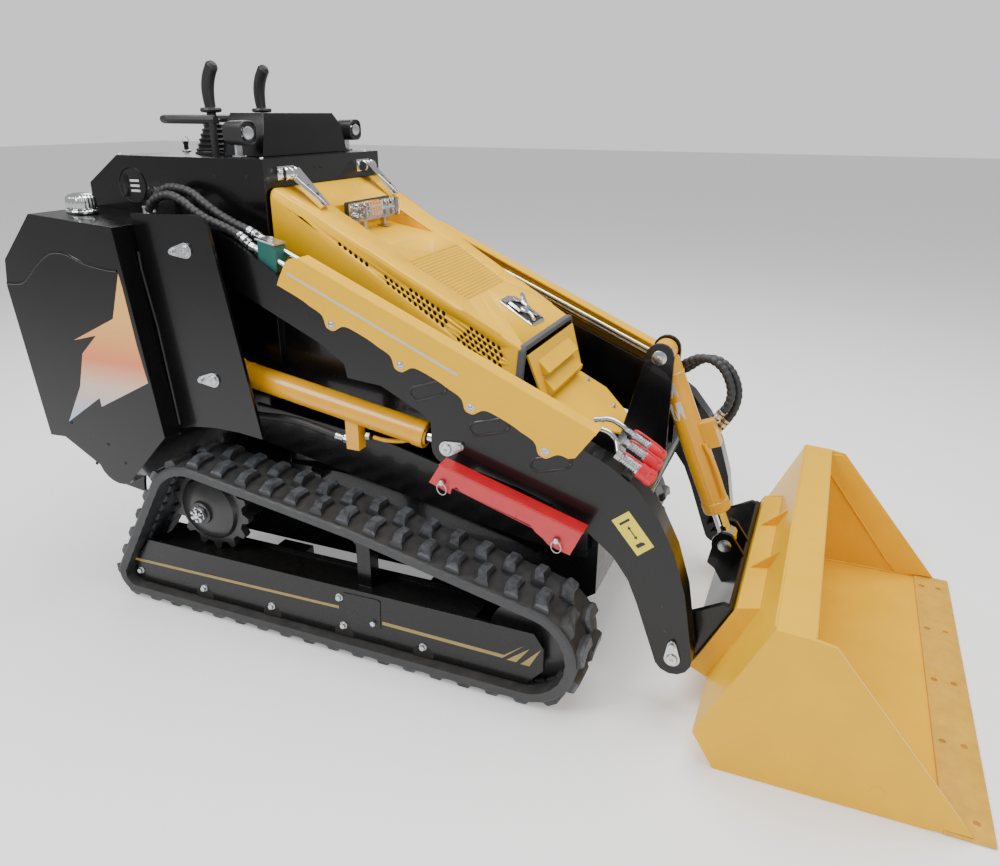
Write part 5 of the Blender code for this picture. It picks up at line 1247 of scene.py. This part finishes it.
# A drive lever: ridged bellows, a collar, and a curved grip with its button.
def gripPiece(side, sign):
    x, y, foot = -0.834, sign * 0.108, 1.2336
    piece = Piece(f"{side}Lever", "machine", plastic, shadeAndBlack, zinc)
    profile = [(0.0, 0.054), (0.004, 0.054), (0.006, 0.050)]
    for number in range(7):
        up, radius = 0.008 + number * 0.0125, 0.049 - number * 0.0050
        profile += [(up, radius), (up + 0.004, radius + 0.0025), (up + 0.0085, radius - 0.0055)]
    profile += [(0.100, 0.0125), (0.112, 0.0115)]
    piece.lathe((x, y, foot), (0, 0, 1), profile, 0, 32)
    piece.lathe((x, y, foot + 0.095), (0, 0, 1), ((0, 0.006), (0.030, 0.006)), 2, 14)
    piece.lathe((x, y, 1.338), (0, 0, 1),
                ((0, 0.016), (0.002, 0.0265), (0.007, 0.0285), (0.012, 0.0265), (0.015, 0.016)), 0, 36)
    spots = [(x, y, 1.345), (x - 0.003, y, 1.372), (x - 0.002, y, 1.402), (x + 0.006, y, 1.430),
             (x + 0.020, y, 1.455)]
    path = smoothPath(spots, 5)
    sizes = [0.0135 + 0.0035 * sin(min(1.0, number / (len(path) - 1) * 1.15) * pi * 0.62)
             for number in range(len(path))]
    path.append(path[-1] + Vector((0.005, 0, 0.006)))
    sizes.append(sizes[-1] * 0.62)
    piece.tube(path, sizes, 0, 24)
    piece.done(replaces=[f"{side}_lever"])


# A rounded black lamp with an oval lens, on a zinc bracket.
def headlightPiece(side, sign):
    y = sign * 0.248
    piece = Piece(f"{side}Headlight", "machine", plastic, clear, reflector, zinc)
    rings = []
    for x, size in ((-0.670, 0.55), (-0.664, 0.80), (-0.650, 0.96), (-0.616, 1.0), (-0.606, 0.98),
                    (-0.603, 0.90), (-0.609, 0.84)):
        ring = []
        for k in range(28):
            t = 2 * pi * k / 28
            ring.append((x, y + 0.031 * size * abs(cos(t))**0.6 * (1 if cos(t) > 0 else -1),
                         1.292 + 0.030 * size * abs(sin(t))**0.6 * (1 if sin(t) > 0 else -1)))
        rings.append(ring)
    piece.loft(rings, 0)
    for x0, depth, made, size in ((-0.6095, 0.004, 2, 0.80), (-0.6065, 0.005, 1, 0.86)):
        piece.loft([[(x0 + depth * rise, y + 0.0285 * size * shrink * cos(t),
                      1.292 + 0.0205 * size * shrink * sin(t))
                     for t in (2 * pi * k / 28 for k in range(28))] for rise,
                     shrink in ((0.0, 1.0), (0.5, 0.92), (0.9, 0.6), (1.0, 0.2))], made)
    for step in (-0.010, 0.010):
        piece.lathe((-0.612, y + step, 1.292), (1, 0, 0), ((0, 0.008), (0.004, 0.008), (0.006, 0.004)),
                    2, 16)
    piece.box((-0.652, y - 0.012, 1.2336), (-0.626, y + 0.012, 1.2385), 3, 0.0015)
    piece.box((-0.643, y - 0.012, 1.2365), (-0.637, y + 0.012, 1.268), 3, 0.0015)
    piece.bolt((-0.648, y, 1.2385), (0, 0, 1), 0.005, 3, False)
    piece.done(bevel=0.0008, replaces=[f"{side}_headlight"])


for side, sign in sides:
    gripPiece(side, sign)
    headlightPiece(side, sign)


# Bolts on the front deck, screws on the tower, and the key with its ring.
def deckTrim():
    piece = Piece("deckTrim", "machine", zinc, shadeAndBlack, whiteLabel, red, plastic)
    for x, y, z in ((0.190, -0.120, 0.643), (0.190, 0.120, 0.643), (0.283, -0.060, 0.597),
                    (0.283, 0.060, 0.597)):
        piece.bolt((x, y, z), (0.447, 0, 0.894), 0.007, 0)
    for x, y in ((-0.575, -0.245), (-0.575, 0.245), (-1.050, -0.240), (-1.050, 0.240)):
        piece.dome((x, y, 1.2332), (0, 0, 1), 0.006, 0.003, 0)
    for y in (-0.055, -0.030):
        piece.lathe((-0.5485, y, 1.203), (1, 0, 0), ((-0.001, 0.004), (0.0008, 0.004)), 1, 12)
    piece.lathe((-0.985, -0.055, 1.2332), (0, 0, 1), ((-0.001, 0.013), (0.004, 0.013), (0.006, 0.010)),
                0, 24)
    piece.box((-0.987, -0.063, 1.238), (-0.983, -0.047, 1.262), 4, 0.001)
    piece.tube([(-0.985, -0.055 + 0.012 * cos(t), 1.262 + 0.012 * sin(t))
                for t in (2 * pi * k / 24 for k in range(25))], 0.0012, 0, 8)
    piece.done(bevel=0.0004)


deckTrim()


# The gland, the return tube and the port nuts of one lift cylinder, and its rod's gland ring.
def liftCylinder(side, sign):
    base, eye = Vector((-0.641, 0.703)), Vector((-0.005, 0.593))
    d = (eye - base).normalized()
    y, length = sign * 0.350, (eye - base).length
    piece = Piece(f"{side}LiftBarrelTrim", f"{side}_lift_barrel", amberYellow, shadeAndBlack, steel, zinc)
    end = length - 0.072

    def spot(s, lift=0.0):
        return (base.x + d.x * s - d.y * lift, y, base.y + d.y * s + d.x * lift)

    axis = (d.x, 0, d.y)
    piece.lathe(spot(end - 0.032), axis,
                ((0, 0.0326), (0.001, 0.0345), (0.029, 0.0345), (0.032, 0.0325), (0.032, 0.0250),
                 (0.036, 0.0235),
                                          (0.036, 0.0168), (0.030, 0.0166)), 0, 40)
    piece.lathe(spot(end + 0.001), axis, ((0, 0.0226), (0.0032, 0.0222), (0.0034, 0.0170)), 1, 32)
    for number in range(4):
        turn = pi / 4 + number * pi / 2
        at = Vector(spot(end - 0.001)) + (Vector((0, 1, 0)) * cos(turn)
                                          + Vector((-d.y, 0, d.x)) * sin(turn)) * 0.029
        piece.lathe(at, axis, ((0, 0.0026), (0.0022, 0.0026)), 1, 10)
    piece.lathe(spot(0.045), axis, ((0, 0.0326), (0.0015, 0.0340), (0.003, 0.0326)), 0, 40)
    pipe = [(-0.232, 0.574), (-0.200, 0.571), (-0.165, 0.574), (-0.138, 0.580), (-0.122, 0.587)]
    piece.tube(smoothPath([(x, y - sign * 0.004, z) for x, z in pipe], 6), 0.0058, 0, 14)
    piece.lathe((-0.250, y, 0.5765), (1, 0, -0.06), ((0, 0.0105), (0.010, 0.0105), (0.011, 0.0095)), 3,
                6, False)
    piece.done(bevel=0.0005)


# Gland, tube and plain stickers of the tilt cylinder.
def tiltCylinder():
    top, eye = Vector((0.420, 0.779)), Vector((0.628, 0.295))
    d = (eye - top).normalized()
    n = Vector((-d.y, d.x))
    piece = Piece("tiltBarrelTrim", "tilt_barrel", amberYellow, shadeAndBlack, zinc, whiteLabel, red)

    def spot(s, lift=0.0, y=0.0):
        return (top.x + d.x * s + n.x * lift, y, top.y + d.y * s + n.y * lift)

    axis = (d.x, 0, d.y)
    piece.lathe(spot(0.415), axis,
                ((0, 0.0340), (0.002, 0.0362), (0.027, 0.0362), (0.030, 0.0340), (0.030, 0.0260),
                 (0.033, 0.0245),
                                    (0.033, 0.0190), (0.028, 0.0188)), 0, 40)
    piece.lathe(spot(0.4455), axis, ((0, 0.0235), (0.003, 0.0230), (0.0032, 0.0190)), 1, 32)
    piece.lathe(spot(0.055), axis, ((0, 0.0342), (0.0016, 0.0356), (0.004, 0.0342)), 0, 40)
    run = [spot(0.252, 0.030, -0.026), spot(0.300, 0.036, -0.026), spot(0.380, 0.036, -0.026),
           spot(0.408, 0.028, -0.022)]
    piece.tube(smoothPath(run, 6), 0.0060, 0, 14)
    for s, half in ((0.095, 0.018), (0.150, 0.024)):
        rings = []
        for reach in (0.0338, 0.0345):
            ring = []
            for ds, turn in [(-half, t)
                             for t in (-0.5, -0.25, 0, 0.25,
                                       0.5)] + [(half, t) for t in (0.5, 0.25, 0, -0.25, -0.5)]:
                centre = Vector(spot(s + ds))
                facing = Vector((0, -1, 0)) * cos(turn - 0.25) + Vector((n.x, 0, n.y)) * sin(turn - 0.25)
                ring.append(centre + facing * reach)
            rings.append(ring)
        piece.loft(rings, 3)
    piece.done(bevel=0.0004)
    pins = Piece("tiltPins", "lift_arms", zinc, weld)
    for sign in (-1, 1):
        pins.lathe((0.420, sign * 0.0505, 0.779), (0, sign, 0),
                   ((0, 0.0185), (0.0035, 0.0185), (0.0045, 0.0170)), 0, 28)
        pins.dome((0.420, sign * 0.054, 0.779), (0, sign, 0), 0.006, 0.003, 0)
    pins.done()
    low = Piece("tiltEyePin", "bucket", zinc, weld)
    for sign in (-1, 1):
        low.lathe((0.628, sign * 0.0500, 0.295), (0, sign, 0),
                  ((0, 0.0175), (0.0035, 0.0175), (0.0045, 0.0160)), 0, 28)
    low.done()


for side, sign in sides:
    liftCylinder(side, sign)
tiltCylinder()
print("cylinders made")


# The bolt-holed cutting edge, worn at its tip.
def cuttingEdge():
    low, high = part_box("cutting_edge")
    piece = Piece("cuttingEdge", "bucket", edgeSteel)
    holes = [circle(x, y, 0.0075, 16) for x in (1.173, 1.218)
             for y in (0.458, 0.222, -0.015, -0.249, -0.480)]
    x0, x1, wide = low.x, high.x, high.y
    outline = [(x0, -wide), (x1, -wide), (x1, wide), (x0, wide)]
    thick = 0.012

    def place(x, y, depth):
        taper = max(0.0, (x - (x1 - 0.030)) / 0.030)
        return (x, y, high.z - (high.z - low.z) * depth / thick - (0.0045 * taper if depth == 0 else 0))

    piece.plate(outline, holes, place, thick)
    piece.done(bevel=0.0010, replaces=["cutting_edge"])


# Doubler plates on the bucket's sides, weld beads, plugs and the folded lip.
def bucketTrim():
    piece = Piece("bucketTrim", "bucket", yellow, zinc, black)
    for sign in (-1, 1):
        outer = 0.525
        doubler = [(0.790, 0.374), (0.898, 0.372), (1.196, 0.018), (1.100, 0.010), (0.862, 0.318),
                   (0.790, 0.322)]
        inner = sign * (outer - 0.0085)
        piece.prism(doubler, inner, sign * (outer - 0.0125))
        bead = [(0.790, inner - sign * 0.0040, 0.322), (0.862, inner - sign * 0.0040, 0.318),
                (1.098, inner - sign * 0.0040, 0.012)]
        piece.tube([along(a, b, k / 12) for a, b in zip(bead, bead[1:]) for k in range(12)], 0.0022, 0,
                   8)
        piece.lathe((1.024, sign * (outer - 0.001), 0.060), (0, sign, 0),
                    ((0, 0.0140), (0.0018, 0.0140), (0.0022, 0.0125)), 0, 28)
    for sign in (-1, 1):
        low = [(0.652, sign * 0.5165, 0.090), (0.700, sign * 0.5165, 0.010),
               (0.900, sign * 0.5165, 0.008), (1.150, sign * 0.5165, 0.009)]
        piece.tube([along(a, b, k / 20) for a, b in zip(low, low[1:]) for k in range(20)],
                   [0.003 + 0.0006 * (k % 3) for k in range(60)], 0, 8)
    piece.tube([(0.784, -0.515, 0.3865), (0.784, 0.515, 0.3865)], 0.0035, 0, 10)
    piece.tube([(0.860, -0.515, 0.3795), (0.860, 0.515, 0.3795)], 0.0042, 0, 12)
    piece.done(bevel=0.0006)


cuttingEdge()
bucketTrim()
print("bucket made")


view = {"place": (0.7886, -1.9792, 1.3432), "turn": 0.391072, "height": 0.379054, "roll": 0.00490664,
        "lens": 29.0}
camera = bpy.data.cameras.new("mainView")
camera.lens = view["lens"]
camera.clip_start = 0.05
cameraItem = bpy.data.objects.new("mainView", camera)
bpy.context.scene.collection.objects.link(cameraItem)
turn, height, roll = view["turn"], view["height"], view["roll"]
back = Vector((sin(turn) * cos(height), -cos(turn) * cos(height), sin(height)))
level = Vector((cos(turn), sin(turn), 0))
upward = back.cross(level)
rightward = cos(roll) * level + sin(roll) * upward
upward = cos(roll) * upward - sin(roll) * level
axes = Matrix((rightward, upward, back)).transposed().to_4x4()
cameraItem.matrix_world = Matrix.Translation(view["place"]) @ axes
bpy.context.scene.camera = cameraItem

lamps = (("keyLight", (-1.8, -2.6, 3.8), 2.2, 130.0), ("fillLight", (3.4, -2.2, 2.4), 2.2, 45.0),
         ("topLight", (0.4, 0.6, 4.2), 3.4, 190.0), ("rimLight", (-2.8, 2.6, 2.6), 2.0, 40.0))
for name, place, size, power in lamps:
    lamp = bpy.data.lights.new(name, "AREA")
    lamp.shape = "DISK"
    lamp.size = size
    lamp.energy = power
    lampItem = bpy.data.objects.new(name, lamp)
    lampItem.location = place
    lampItem.rotation_euler = (Vector((0, 0, 0.5)) - Vector(place)).to_track_quat("-Z", "Y").to_euler()
    bpy.context.scene.collection.objects.link(lampItem)
world = bpy.data.worlds.new("studio")
world.use_nodes = True
sky = world.node_tree.nodes["Background"]
sky.inputs["Color"].default_value = (1.0, 1.0, 1.0, 1)
sight = world.node_tree.nodes.new("ShaderNodeLightPath")
level = world.node_tree.nodes.new("ShaderNodeMapRange")
level.inputs["To Min"].default_value = 0.42
level.inputs["To Max"].default_value = 0.95
world.node_tree.links.new(sight.outputs["Is Camera Ray"], level.inputs["Value"])
world.node_tree.links.new(level.outputs[0], sky.inputs["Strength"])
bpy.context.scene.world = world

floorMesh = bmesh.new()
bmesh.ops.create_grid(floorMesh, x_segments=1, y_segments=1, size=30.0)
floorData = bpy.data.meshes.new("floor")
floorMesh.to_mesh(floorData)
floorMesh.free()
floorData.materials.append(finish("paleFloor", (0.93, 0.93, 0.93), 0.6, shade=0.99, dust=(0.0, 1.0),
                                  extra={"Emission Color": (1, 1, 1, 1), "Emission Strength": 0.28}))
floor = bpy.data.objects.new("floor", floorData)
floor.location.z = -0.001
bpy.context.scene.collection.objects.link(floor)

print("view and lights made")
